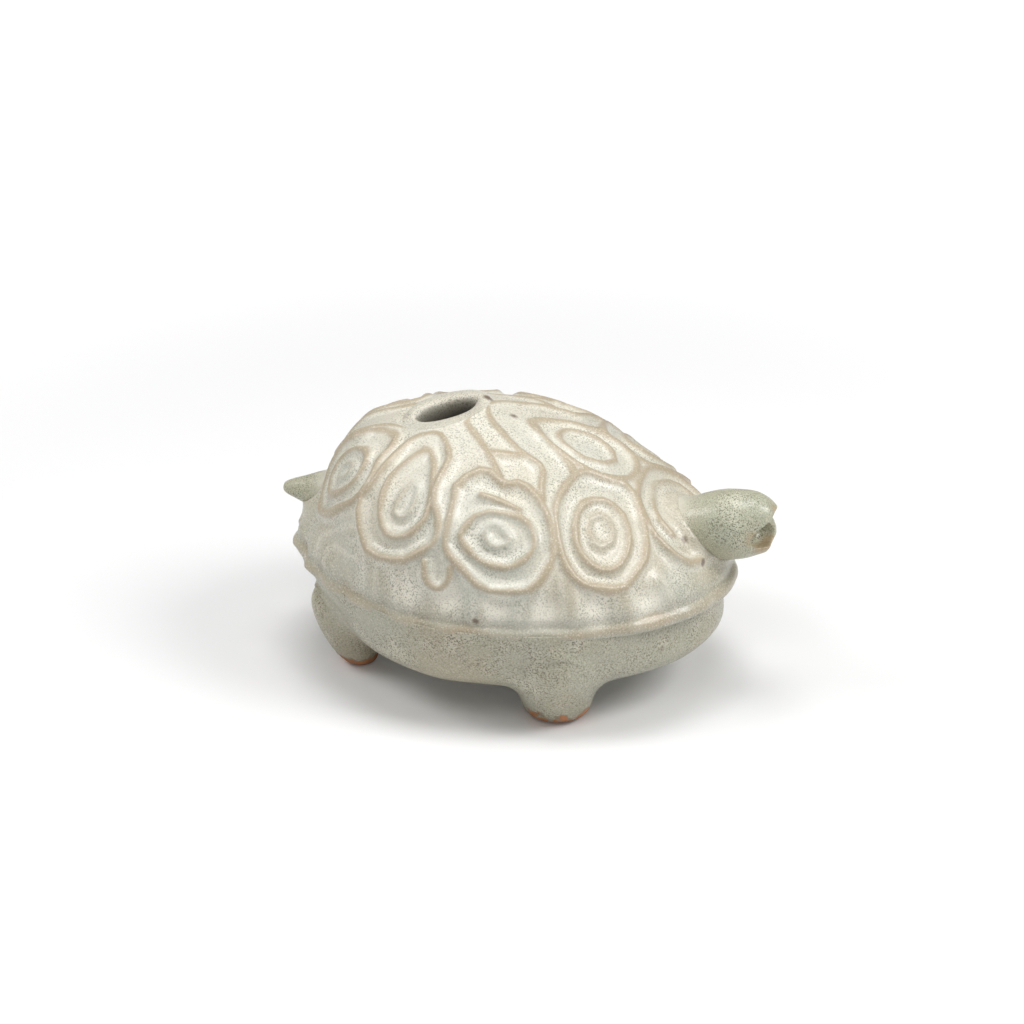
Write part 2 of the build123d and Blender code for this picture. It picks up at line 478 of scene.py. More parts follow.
OUTER = {"height": 0.00150, "width": 0.00120}
RING = {"height": 0.00115, "width": 0.00105}
CORE = {"height": 0.00085, "width": 0.00095}
THREAD = {"height": 0.00120, "width": 0.00105, "closed": False}
FAINT = {"height": 0.0004, "width": 0.0009, "closed": False}
SEAM = {"height": 0.00080, "width": 0.0023, "closed": False}
LOW_SEAM = {"height": 0.00065, "width": 0.0023, "closed": False}

ROLLS = (
    # Front side scute
    Roll(
        ((0.39, -0.17), (0.34, -0.31), (0.325, -0.42), (0.35, -0.55), (0.40, -0.64),
         (0.47, -0.66), (0.59, -0.60), (0.62, -0.49), (0.64, -0.39), (0.60, -0.25), (0.53, -0.10),
         (0.455, -0.15)),
        **OUTER,
    ),
    Roll(
        ((0.485, -0.245), (0.42, -0.30), (0.39, -0.41), (0.41, -0.53), (0.485, -0.575),
         (0.555, -0.53), (0.58, -0.41), (0.55, -0.29)),
        **RING,
    ),
    Roll(((0.425, -0.40), (0.478, -0.313), (0.53, -0.40), (0.478, -0.49)), **CORE),
    # Middle side scute
    Roll(
        ((-0.015, -0.40), (0.08, -0.325), (0.15, -0.385), (0.21, -0.345), (0.285, -0.405),
         (0.33, -0.51), (0.34, -0.61), (0.29, -0.75), (0.195, -0.79), (0.10, -0.805),
         (0.015, -0.73), (-0.045, -0.675), (-0.04, -0.60), (-0.02, -0.51)),
        **OUTER,
    ),
    Roll(
        ((0.01, -0.60), (0.02, -0.64), (0.075, -0.69), (0.12, -0.705), (0.195, -0.70),
         (0.255, -0.64), (0.275, -0.575), (0.255, -0.51), (0.21, -0.49), (0.075, -0.51)),
        **RING,
    ),
    Roll(((0.075, -0.445), (0.14, -0.452), (0.21, -0.465)), **THREAD),
    Roll(((0.09, -0.575), (0.12, -0.64), (0.20, -0.60), (0.14, -0.53)), **CORE),
    # Rear side scute
    Roll(
        ((-0.395, -0.44), (-0.425, -0.565), (-0.405, -0.655), (-0.245, -0.715), (-0.155, -0.69),
         (-0.08, -0.65), (-0.065, -0.58), (-0.09, -0.48), (-0.065, -0.375), (-0.035, -0.305),
         (-0.075, -0.225), (-0.165, -0.24), (-0.24, -0.315), (-0.305, -0.39)),
        **OUTER,
    ),
    Roll(
        ((-0.31, -0.55), (-0.285, -0.61), (-0.225, -0.625), (-0.165, -0.605), (-0.105, -0.54),
         (-0.09, -0.42), (-0.09, -0.31), (-0.135, -0.30), (-0.225, -0.36), (-0.285, -0.45)),
        **RING,
    ),
    Roll(
        ((-0.24, -0.51), (-0.225, -0.545), (-0.185, -0.54), (-0.15, -0.49), (-0.135, -0.42),
         (-0.165, -0.42)),
        **CORE,
    ),
    # Last side scute, over the hip
    Roll(
        ((-0.725, -0.27), (-0.63, -0.375), (-0.49, -0.425), (-0.40, -0.43), (-0.315, -0.375),
         (-0.285, -0.315), (-0.225, -0.24), (-0.285, -0.15), (-0.40, -0.11), (-0.55, -0.13),
         (-0.67, -0.18)),
        **OUTER,
    ),
    Roll(
        ((-0.62, -0.28), (-0.52, -0.35), (-0.41, -0.36), (-0.34, -0.30), (-0.32, -0.235),
         (-0.40, -0.18), (-0.53, -0.19)),
        **RING,
    ),
    Roll(((-0.52, -0.27), (-0.45, -0.305), (-0.39, -0.27), (-0.45, -0.23)), **CORE),
    # Scutes along the back, closed across the middle
    Roll(
        ((0.215, 0.0), (0.222, -0.03), (0.24, -0.06), (0.305, -0.12), (0.39, -0.165),
         (0.46, -0.14), (0.52, -0.08), (0.53, 0.0)),
        mirrored=False, **OUTER,
    ),
    Roll(((0.29, 0.0), (0.30, -0.05), (0.37, -0.095), (0.44, -0.07), (0.465, 0.0)), mirrored=False, **RING),
    Roll(
        ((0.55, 0.0), (0.55, -0.10), (0.60, -0.24), (0.66, -0.285), (0.74, -0.29), (0.80, -0.25),
         (0.83, -0.12), (0.84, 0.0)),
        mirrored=False, **OUTER,
    ),
    Roll(((0.59, 0.0), (0.60, -0.06), (0.625, -0.165), (0.695, -0.195)), **THREAD),
    Roll(((-0.62, 0.0), (-0.55, -0.07), (-0.35, -0.08), (-0.22, -0.14), (-0.10, -0.115)), **THREAD),
    # Broken lines beside the hole
    Roll(((-0.02, -0.03), (0.0, -0.14), (0.075, -0.24), (0.11, -0.31), (0.15, -0.385)), **THREAD),
    Roll(
        ((0.07, -0.02), (0.12, -0.11), (0.175, -0.19), (0.225, -0.215), (0.275, -0.24),
         (0.275, -0.33), (0.285, -0.405)),
        **THREAD,
    ),
    Roll(((0.105, -0.26), (0.165, -0.235), (0.21, -0.21)), **THREAD),
    Roll(((0.305, -0.12), (0.375, -0.195), (0.35, -0.285), (0.32, -0.42)), **THREAD),
    # Small lobe between two scutes, and the faint lines towards the tail
    Roll(((-0.135, -0.72), (-0.14, -0.79), (-0.09, -0.83), (-0.03, -0.79), (-0.025, -0.74)), **THREAD),
    Roll(((-0.72, -0.46), (-0.62, -0.49), (-0.49, -0.54)), **FAINT),
    Roll(((-0.60, -0.51), (-0.51, -0.60)), **FAINT),
    # Edges between the marginal scutes
    Roll(((0.10, -0.805), (0.09, -0.955)), **SEAM),
    Roll(((0.29, -0.755), (0.27, -0.895)), **SEAM),
    Roll(((0.40, -0.66), (0.44, -0.79)), **SEAM),
    Roll(((0.60, -0.60), (0.67, -0.69)), **SEAM),
    Roll(((0.70, -0.46), (0.81, -0.54)), **LOW_SEAM),
    Roll(((-0.27, -0.74), (-0.30, -0.90)), **LOW_SEAM),
    Roll(((-0.42, -0.67), (-0.50, -0.80)), **LOW_SEAM),
    Roll(((-0.70, -0.46), (-0.80, -0.52)), **LOW_SEAM),
)
# Middles of the pools of glaze, and bearings of the notches between the rim's lobes in degrees
POOLS = ((0.15, -0.86), (0.335, -0.835), (0.52, -0.73), (-0.05, -0.86), (-0.25, -0.83), (0.70, -0.58))
NOTCH_BEARINGS = (14, 33, 52, 70, 86, 101, 117, 134, 147, 158, 171)


# Work on meshes


def pick(piece: Piece) -> None:
    """Selects one piece and makes it the active one.

    Args:
        piece: The piece.
    """
    bpy.ops.object.select_all(action="DESELECT")
    piece.select_set(True)
    bpy.context.view_layer.objects.active = piece


def add_primitive(operator: Callable[..., set], **settings: object) -> Piece:
    """Adds one primitive with nothing else selected.

    Args:
        operator: What adds it.
        settings: Its sizes.

    Returns:
        The new piece.
    """
    bpy.ops.object.select_all(action="DESELECT")
    operator(**settings)
    return bpy.context.active_object


def read(rows: bpy.types.bpy_prop_collection, name: str) -> Array:
    """Three numbers for each vertex, such as its place.

    Args:
        rows: The mesh's rows.
        name: What is read from each.

    Returns:
        One row of three for each vertex.
    """
    flat = np.empty(3 * len(rows), np.float32)
    rows.foreach_get(name, flat)
    return flat.reshape(-1, 3).astype(float)


def read_points(piece: Piece) -> Array:
    """Places of a piece's vertices."""
    return read(piece.data.vertices, "co")


def read_normals(piece: Piece) -> Array:
    """Outward directions at a piece's vertices."""
    return read(piece.data.vertex_normals, "vector")


def write_points(piece: Piece, points: Array) -> None:
    """Moves a piece's vertices."""
    piece.data.vertices.foreach_set("co", points.astype(np.float32).ravel())
    piece.data.update()


def write_value(piece: Piece, name: str, values: Array) -> None:
    """Stores one number at each vertex, for the glaze to read."""
    layer = piece.data.attributes.new(name, "FLOAT", "POINT")
    layer.data.foreach_set("value", values.astype(np.float32))


def apply_modifier(piece: Piece, kind: str, **settings: object) -> None:
    """Adds a modifier, sets it and applies it.

    Args:
        piece: The piece that it changes.
        kind: The modifier's type.
        settings: Its options.
    """
    modifier = piece.modifiers.new(kind.title(), kind)
    for key, value in settings.items():
        setattr(modifier, key, value)
    pick(piece)
    bpy.ops.object.modifier_apply(modifier=modifier.name)


def cut_away(piece: Piece, tool: Piece) -> None:
    """Takes the tool's shape out of a piece and deletes the tool."""
    apply_modifier(piece, "BOOLEAN", operation="DIFFERENCE", object=tool, solver="EXACT")
    bpy.data.objects.remove(tool)


def edit_all(piece: Piece, *steps: Callable[[], set]) -> None:
    """Takes steps in edit mode, each with the whole mesh selected.

    Args:
        piece: The piece that is edited.
        steps: Operators with their settings.
    """
    pick(piece)
    bpy.ops.object.mode_set(mode="EDIT")
    for step in steps:
        bpy.ops.mesh.select_all(action="SELECT")
        step()
    bpy.ops.object.mode_set(mode="OBJECT")


def face_outwards() -> set:
    """Turns the faces of the mesh in edit mode outwards."""
    return bpy.ops.mesh.normals_make_consistent(inside=False)


def close_up(piece: Piece) -> None:
    """Turns the faces outwards and shades them smooth."""
    edit_all(piece, face_outwards)
    bpy.ops.object.shade_smooth()


def finish_piece(piece: Piece, node: str, material: Material) -> None:
    """Closes, names and dresses a piece and lets it stand for its node.

    Args:
        piece: The modelled piece.
        node: The node of the frame that it stands for.
        material: Its glaze.
    """
    close_up(piece)
    piece.name = piece.data.name = f"{node}_glazed"
    piece.data.materials.clear()
    piece.data.materials.append(material)
    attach(piece, "root")
    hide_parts(node)
    log.info("%s: %d vertices, %d faces", piece.name, len(piece.data.vertices), len(piece.data.polygons))


def new_ball(segments: int, rings: int) -> Piece:
    """A ball of radius 1, to be shaped."""
    sizes = {"segments": segments, "ring_count": rings, "radius": 1}
    return add_primitive(bpy.ops.mesh.primitive_uv_sphere_add, **sizes)


def ball_angles(piece: Piece) -> tuple[Array, Array]:
    """Shares of the way from a ball's lowest point to its highest, and bearings round it."""
    ball = read_points(piece)
    return np.arccos(np.clip(-ball[:, 2], -1, 1)) / math.pi, np.arctan2(ball[:, 1], ball[:, 0])


def turned(limb: Limb, segments: int, rings: int) -> Piece:
    """Round piece along a limb's centreline, shaped from a sphere.

    Args:
        limb: The centreline and the profile.
        segments: Sides round the piece.
        rings: Steps along it.

    Returns:
        A closed piece.
    """
    piece = new_ball(segments, rings)
    share, bearing = ball_angles(piece)
    shares, radii = limb.curve()
    run, side, up = limb.axes()
    lengths = np.hypot(np.diff(shares) * np.linalg.norm(run), np.diff(radii))
    steps = np.concatenate(((0.0,), np.cumsum(lengths)))
    steps = steps / steps[-1]
    along = np.interp(share, steps, shares)
    radius = np.interp(share, steps, radii)
    offset = np.cos(bearing)[:, None] * side + np.sin(bearing)[:, None] * up
    write_points(piece, np.array(limb.start) + along[:, None] * run + radius[:, None] * offset)
    return piece


def join_softly(points: Array, normals: Array, gap: Field, reach: float) -> Array:
    """Swells a surface towards its neighbour, as slip smoothed into the corner does.

    Args:
        points: Places of the surface.
        normals: Its outward directions.
        gap: Distance to the neighbour.
        reach: Where the joint begins.

    Returns:
        The moved places.
    """
    moved = points
    for _ in range(5):
        moved = points + normals * swell(gap(moved), reach)[:, None]
    return moved


def settle(piece: Piece, field: Field, reach: float, rise: Field) -> None:
    """Makes a limb uneven, joins it softly to the body and hides its end in the body's wall.

    Args:
        piece: The limb.
        field: The measure of the body's surface that it grows from.
        reach: Where the joint begins.
        rise: Height of its unevenness at places.
    """
    points, normals = read_points(piece), read_normals(piece)
    points = points + normals * rise(points)[:, None]
    points = join_softly(points, normals, partial(BODY.gap, field), reach)
    write_points(piece, inside_box(BODY.hold_buried(points, field)))


# The pieces


@dataclass(frozen=True)
class Leg:
    """Sizes of one pair of legs.

    The shares run up from the middle of the sole, and are of the height and of the radius.
    """

    ahead: float
    out: float
    height: float
    radius: float
    lean: float
    sweep: float
    shares: tuple[Place, ...]

    def limb(self, side: int) -> Limb:
        """Lays out one leg.

        Args:
            side: -1 on the right and 1 on the left.

        Returns:
            Its centreline and profile.
        """
        x, y = BODY.middle_x + self.ahead, side * self.out
        top = (x + self.sweep, y + side * self.lean, self.height)
        return Limb((x, y, 0.0), top, self.shares, self.radius, level=True)


FRONT_LEG = Leg(
    ahead=0.0161,
    out=0.0200,
    height=0.0215,
    radius=0.0086,
    lean=0.0096,
    sweep=0.0024,
    shares=((0.0, 0.0), (0.0, 0.45), (0.0, 0.58), (0.03, 0.71), (0.10, 0.81), (0.25, 0.90),
            (0.50, 0.98), (0.72, 0.88), (0.90, 0.56), (0.99, 0.30), (1.0, 0.0)),
)
REAR_LEG = Leg(
    ahead=-0.0288,
    out=0.0096,
    height=0.0205,
    radius=0.0062,
    lean=0.0060,
    sweep=-0.0036,
    shares=((0.0, 0.0), (0.0, 0.30), (0.01, 0.46), (0.06, 0.62), (0.18, 0.80),
            (0.45, 1.0), (0.70, 1.04), (0.90, 0.80), (0.98, 0.45), (1.0, 0.0)),
)


@dataclass(frozen=True)
class Legs:
    """The four legs."""

    joint_reach: float = 0.0034
    segments: int = 128
    rings: int = 112
    swell_height: float = 0.00028
    swell_size: float = 0.011
    full_swell_height: float = 0.004
    first_seed: float = 2.0

    def all(self) -> dict[str, Limb]:
        """Every leg by its node's name.

        Returns:
            The legs.
        """
        found = {}
        for end, leg in (("front", FRONT_LEG), ("rear", REAR_LEG)):
            for hand, side in (("right", -1), ("left", 1)):
                found[f"{end}_{hand}_leg"] = leg.limb(side)
        return found

    def unevenness(self, number: int, points: Array) -> Array:
        """Height of a leg's hand-made swells, none at the sole."""
        swells = self.swell_height * hand_noise(points, self.swell_size, self.first_seed + number)
        return swells * smooth_step(points[:, 2], 0.0, self.full_swell_height)

    def build(self, material: Material) -> None:
        """Models and dresses the four legs.

        Args:
            material: Their glaze.
        """
        for number, (node, limb) in enumerate(self.all().items()):
            piece = turned(limb, self.segments, self.rings)
            settle(piece, BODY.bowl_field, self.joint_reach, partial(self.unevenness, number))
            finish_piece(piece, node, material)


@dataclass(frozen=True)
class Tail:
    """A short cone that points back. The shares run from its tip: of the length and the radius."""

    reach: float = 0.0113
    height: float = 0.0332
    radius: float = 0.0060
    bury: float = 0.0045
    joint_reach: float = 0.0030
    segments: int = 96
    swell_height: float = 0.0001
    swell_size: float = 0.006
    shares: tuple[Place, ...] = (
        (0.0, 0.0), (0.0, 0.09), (0.02, 0.19), (0.10, 0.30), (0.30, 0.50), (0.60, 0.80), (0.90, 1.0),
        (1.0, 0.8), (1.0, 0.0),
    )

    def limb(self) -> Limb:
        """Lays out the tail.

        Returns:
            Its centreline, from the tip into the shell, and its profile.
        """
        tip = cad_box[0].x
        end = (tip + self.reach + self.bury, 0.0, self.height)
        return Limb((tip, 0.0, self.height), end, self.shares, self.radius)

    def unevenness(self, points: Array) -> Array:
        """Depth of its hand-made swells, as a height below zero."""
        return -(self.swell_height + self.swell_height * hand_noise(points, self.swell_size, 1.0))

    def build(self, material: Material) -> None:
        """Models and dresses the tail.

        Args:
            material: Its glaze.
        """
        piece = turned(self.limb(), self.segments, self.segments)
        settle(piece, BODY.dome_field, self.joint_reach, self.unevenness)
        finish_piece(piece, "tail", material)


@dataclass(frozen=True)
class Head:
    """Neck and head, with the beak, the notched mouth and the scooped spout.

    The skull's shares are of the length from the neck and of the radius. The ends of a crease are given
    in shares of the mouth's depth back, of the radius out, and of the mouth's rise.
    """

    beak_height: float = 0.0407
    pitch: float = math.radians(9)
    length: float = 0.0179
    radius: float = 0.0071
    neck_radius: float = 0.0058
    bury: float = 0.0095
    beak_rise: float = 0.0025
    brow_setback: float = 0.0025
    brow_rise: float = 0.0069
    mouth_depth: float = 0.0024
    mouth_rise: float = 0.0004
    lip_setback: float = 0.0012
    lip_drop: float = 0.0021
    lip_thickness: float = 0.0013
    chin_setback: float = 0.0034
    chin_drop: float = 0.0065
    chin_slope_share: float = 0.4
    narrow_start: float = 0.5
    narrow_share: float = 0.26
    skull_shares: tuple[Place, ...] = (
        (0.16, 0.90), (0.36, 1.01), (0.56, 1.01), (0.78, 0.92), (0.93, 0.74), (1.04, 0.42), (1.06, 0.0),
    )
    scoop_middle: Point = (0.0158, -0.0021, -0.0018)
    scoop_size: Point = (0.0045, 0.0040, 0.0023)
    bore_reach: float = 0.0050
    bore_share: float = 0.62
    crease_ends: tuple[Point, Point] = ((1.0, 0.6, 1.0), (3.2, 0.95, 1.6))
    crease_depth: float = 0.00035
    crease_width: float = 0.0006
    swell_height: float = 0.00016
    swell_size: float = 0.007
    segments: int = 96
    rings: int = 80
    voxel: float = 0.00024
    joint_reach: float = 0.0026

    def place(self, along: float, across: float, up: float) -> Vector:
        """Point of the shared frame for one in the head's own frame.

        Args:
            along: Length from the neck towards the beak.
            across: Length to the left.
            up: Length upwards from the head's middle.

        Returns:
            The point.
        """
        tip_x, tip_z = self.pitched(self.length, self.beak_rise)
        x, z = self.pitched(along, up)
        return Vector((cad_box[1].x - tip_x + x, across, self.beak_height - tip_z + z))

    def pitched(self, along: float, up: float) -> Place:
        """A point of the head's middle plane after the head is pitched up."""
        cos, sin = math.cos(self.pitch), math.sin(self.pitch)
        return along * cos - up * sin, along * sin + up * cos

    def limb(self) -> Limb:
        """Lays out the neck and skull before the face is cut.

        Returns:
            The centreline from the neck's buried end to the nose, and the profile in metres.
        """
        whole = self.length + self.bury
        neck = ((0.0, 0.0), (0.0, 0.6 * self.neck_radius), (0.01, self.neck_radius))
        skull = tuple(
            ((self.bury + along * self.length) / whole, wide * self.radius)
            for along, wide in self.skull_shares
        )
        profile = (*neck, (self.bury / whole, self.neck_radius), *skull)
        return Limb(tuple(self.place(-self.bury, 0, 0)), tuple(self.place(self.length, 0, 0)), profile)

    def muzzle_tool(self) -> Piece:
        """Models what is cut away in front of the face.

        Returns:
            A block whose near side is the slope over the beak, the mouth and the chin.
        """
        far = 2 * self.radius
        back = self.chin_slope_share * self.radius
        brow = self.length - self.brow_setback
        lip = self.length - self.lip_setback
        chin = self.length - self.chin_setback
        outline = (
            (brow, self.brow_rise),
            (self.length, self.beak_rise),
            (self.length - self.mouth_depth, self.mouth_rise),
            (lip, -self.lip_drop),
            (lip, -self.lip_drop - self.lip_thickness),
            (chin, -self.chin_drop),
            (chin - back, -far),
            (self.length + far, -far),
            (self.length + far, far),
            (brow - back, far),
        )
        tool = add_primitive(bpy.ops.mesh.primitive_circle_add, vertices=len(outline), fill_type="NGON")
        write_points(tool, np.array([self.place(along, -far, up) for along, up in outline]))
        move = {"value": (0, 2 * far, 0)}
        edit_all(tool, partial(bpy.ops.mesh.extrude_region_move, TRANSFORM_OT_translate=move), face_outwards)
        return tool

    def scoop_tool(self) -> Piece:
        """Models the scooped hollow of the mouth.

        Returns:
            A ball that is drawn out behind into the bore.
        """
        tool = new_ball(64, 48)
        ball = read_points(tool)
        back = np.clip(-ball[:, 0], 0, 1)
        ball[:, 1:] *= (1 - self.bore_share * smooth_step(back, 0.55, 0.95))[:, None]
        points = np.array(self.scoop_middle) + np.array(self.scoop_size) * ball
        points[:, 0] -= self.bore_reach * smooth_step(back, 0.85, 1.0)
        write_points(tool, np.array([self.place(*point) for point in points]))
        return tool

    def crease(self, points: Array) -> Array:
        """The crease that runs back from each corner of the mouth.

        Args:
            points: Places of the head.

        Returns:
            Its depth at each place.
        """
        total = np.zeros(len(points))
        for side in (-1, 1):
            ends = []
            for back, out, up in self.crease_ends:
                along = self.length - back * self.mouth_depth
                ends.append(self.place(along, side * out * self.radius, up * self.mouth_rise))
            total += self.crease_depth * bump(line_distance(points, np.array(ends)), self.crease_width)
        return total

    def unevenness(self, points: Array) -> Array:
        """Height of the hand-made swells, less the creases."""
        return self.swell_height * hand_noise(points, self.swell_size, 4.0) - self.crease(points)

    def build(self, material: Material) -> None:
        """Models and dresses the head.

        Args:
            material: Its glaze.
        """
        piece = turned(self.limb(), self.segments, self.rings)
        points = read_points(piece)
        narrowing = self.place(self.narrow_start * self.length, 0, 0).x
        ahead = smooth_step(points[:, 0], narrowing, cad_box[1].x)
        points[:, 1] *= 1 - self.narrow_share * ahead
        write_points(piece, points)
        close_up(piece)
        cut_away(piece, self.muzzle_tool())
        cut_away(piece, self.scoop_tool())
        apply_modifier(piece, "REMESH", mode="VOXEL", voxel_size=self.voxel)
        apply_modifier(piece, "SMOOTH", factor=0.5, iterations=9)
        settle(piece, BODY.dome_field, self.joint_reach, self.unevenness)
        finish_piece(piece, "head", material)


@dataclass(frozen=True)
class Belly:
    """The lower bowl, hollow, open at the rim.

    A span gives the heights at which a change begins and is full.
    """

    segments: int = 320
    rings: int = 150
    inner_share: float = 0.42
    crowding: float = 1.8
    fill: float = 0.0012
    fill_span: Place = (0.0165, 0.0224)
    waist: float = 0.0030
    waist_span: Place = (0.0125, 0.0225)
    waist_ahead: Place = (0.45, 0.95)
    flare_share: float = 0.62
    flare_span: Place = (0.0130, 0.0236)
    tuck: float = 0.0008
    tuck_span: Place = (0.0214, 0.0226)
    swell_height: float = 0.00022
    swell_size: float = 0.020

    @staticmethod
    def legs_gap(legs: dict[str, Limb], points: Array) -> Array:
        """Measures to the nearest leg. A point above a leg's top is soon far from it.

        Args:
            legs: The legs.
            points: Places of the belly.

        Returns:
            One distance for each point.
        """
        gaps = []
        for limb in legs.values():
            gaps.append(limb.distance(points) + 10 * np.clip(points[:, 2] - limb.end[2], 0, None))
        return np.min(gaps, axis=0)

    def outside(self, legs: dict[str, Limb], reach: float, down: Array, bearing: Array) -> Array:
        """Shapes the outer surface.

        Args:
            legs: The legs that grow from it.
            reach: Where their joints begin.
            down: Angles down from the rim.
            bearing: Angles round the belly.

        Returns:
            Its places.
        """
        points = BODY.bowl(down, bearing)
        normals = BODY.distance(points, BODY.bowl_field)[1]
        fill = self.fill * smooth_step(points[:, 2], *self.fill_span)
        waist = self.waist * smooth_step(points[:, 2], *self.waist_span)
        waist = waist * smooth_step(np.cos(bearing), *self.waist_ahead)
        points[:, :2] += compass(bearing) * (fill - waist)[:, None]
        points = points + flare(bearing, self.flare_share * smooth_step(points[:, 2], *self.flare_span))
        swells = self.swell_height * hand_noise(points, self.swell_size, 5.0)
        points = points + normals * (swells * np.sin(np.clip(2 * down, 0, math.pi / 2)))[:, None]
        points[:, 2] += self.tuck * smooth_step(points[:, 2], *self.tuck_span)
        return join_softly(points, normals, partial(self.legs_gap, legs), reach)

    def build(self, legs: dict[str, Limb], reach: float, material: Material) -> None:
        """Models and dresses the belly.

        Args:
            legs: The legs that grow from it.
            reach: Where their joints begin.
            material: Its glaze.
        """
        piece = new_ball(self.segments, self.rings)
        share, bearing = ball_angles(piece)
        outer_share = 1 - self.inner_share
        down = (1 - np.clip(share / outer_share, 0, 1)) ** self.crowding * math.pi / 2
        down_inside = np.clip((share - outer_share) / self.inner_share, 0, 1) * math.pi / 2
        points = self.outside(legs, reach, down, bearing)
        inner = BODY.bowl(down_inside, bearing, inset=BODY.wall)
        write_points(piece, inside_box(np.where((share <= outer_share)[:, None], points, inner)))
        finish_piece(piece, "belly", material)


@dataclass(frozen=True)
class Flare:
    """How the skirt is drawn out and up under the tail. A span is in degrees round from the head."""

    out: float = 0.0068
    out_span: Place = (118, 172)
    sideways_share: float = 0.8
    up: float = 0.0036
    up_span: Place = (135, 180)


def flare(bearing: Array, share: Array, size: Flare = Flare()) -> Array:
    """Shift of the skirt.

    Args:
        bearing: Angle round the shell from the head.
        share: How much of the shift each point takes, 1 at the edge.
        size: How far it is drawn out.

    Returns:
        The shift of each point.
    """
    back = np.degrees(np.abs(bearing))
    out = size.out * smooth_step(back, *size.out_span) * share
    up = size.up * smooth_step(back, *size.up_span) * share
    return np.stack((out * np.cos(bearing), size.sideways_share * out * np.sin(bearing), up), axis=1)


@dataclass(frozen=True)
class FillingHole:
    """The lens-shaped filling hole with its rolled lip.

    The section gives distances from the hole's axis and heights, from the collar down the wall.
    """

    place: Place = (-0.075, 0.0)
    tilt: float = math.radians(12)
    radius: float = 0.0062
    squeeze: float = 0.52
    bias: float = 0.08
    roundness: float = 0.45
    turn: float = math.radians(17)
    section: tuple[Place, ...] = (
        (0.0094, -0.0003), (0.0088, 0.0000), (0.0080, 0.0003), (0.0071, 0.0003), (0.0063, -0.0003),
        (0.0060, -0.0016), (0.0061, -0.0045),
    )
    far_rise: float = 0.0009
    ripple: float = 0.0002

    def frame(self) -> tuple[Array, Array, Array, Array]:
        """Works out how the hole lies.

        Returns:
            Its middle, its directions ahead and to the left, and its axis.
        """
        place = np.array([self.place])
        middle = BODY.dome(place)[0]
        ahead = BODY.dome(place + (0.01, 0))[0] - middle
        slope = math.atan2(ahead[2], ahead[0]) + self.tilt
        along = np.array((math.cos(slope), 0, math.sin(slope)))
        left = np.array((0.0, 1.0, 0.0))
        return middle, along, left, np.cross(along, left)

    def point(self, bearing: Array, radius: Array, height: Array) -> Array:
        """Places round the hole's axis, on circles at the collar and on the lens at the hole.

        Args:
            bearing: Angles round the axis.
            radius: Distances from it.
            height: Heights along it.

        Returns:
            The places.
        """
        middle, along, left, axis = self.frame()
        open_share = smooth_step(radius, self.radius, self.section[0][0])
        narrow = self.squeeze - self.bias * np.sin(bearing)
        squeeze = narrow * np.abs(np.sin(bearing)) ** self.roundness
        squeeze = squeeze + (1 - squeeze) * open_share
        turn = self.turn * (1 - open_share)
        ahead, aside = np.cos(bearing), squeeze * np.sin(bearing)
        across = (ahead * np.cos(turn) - aside * np.sin(turn))[:, None] * along
        across = across + (ahead * np.sin(turn) + aside * np.cos(turn))[:, None] * left
        return middle + radius[:, None] * across + height[:, None] * axis

    def circle(self, bearing: Array, radius: float, height: float) -> Array:
        """Places on one circle round the hole's axis."""
        return self.point(bearing, np.full(len(bearing), radius), np.full(len(bearing), height))

    def lip(self, bearing: Array, turn: Array) -> Array:
        """Rolled lip and the wall below it.

        Args:
            bearing: Angles round the hole.
            turn: Shares of the way down.

        Returns:
            The places.
        """
        radius, height = along_section(self.section, turn)
        crest = np.sin(math.pi * np.clip(turn, 0, 1))
        uneven = self.far_rise * np.sin(bearing) + self.ripple * np.sin(3 * bearing)
        return self.point(bearing, radius, height + crest * uneven)


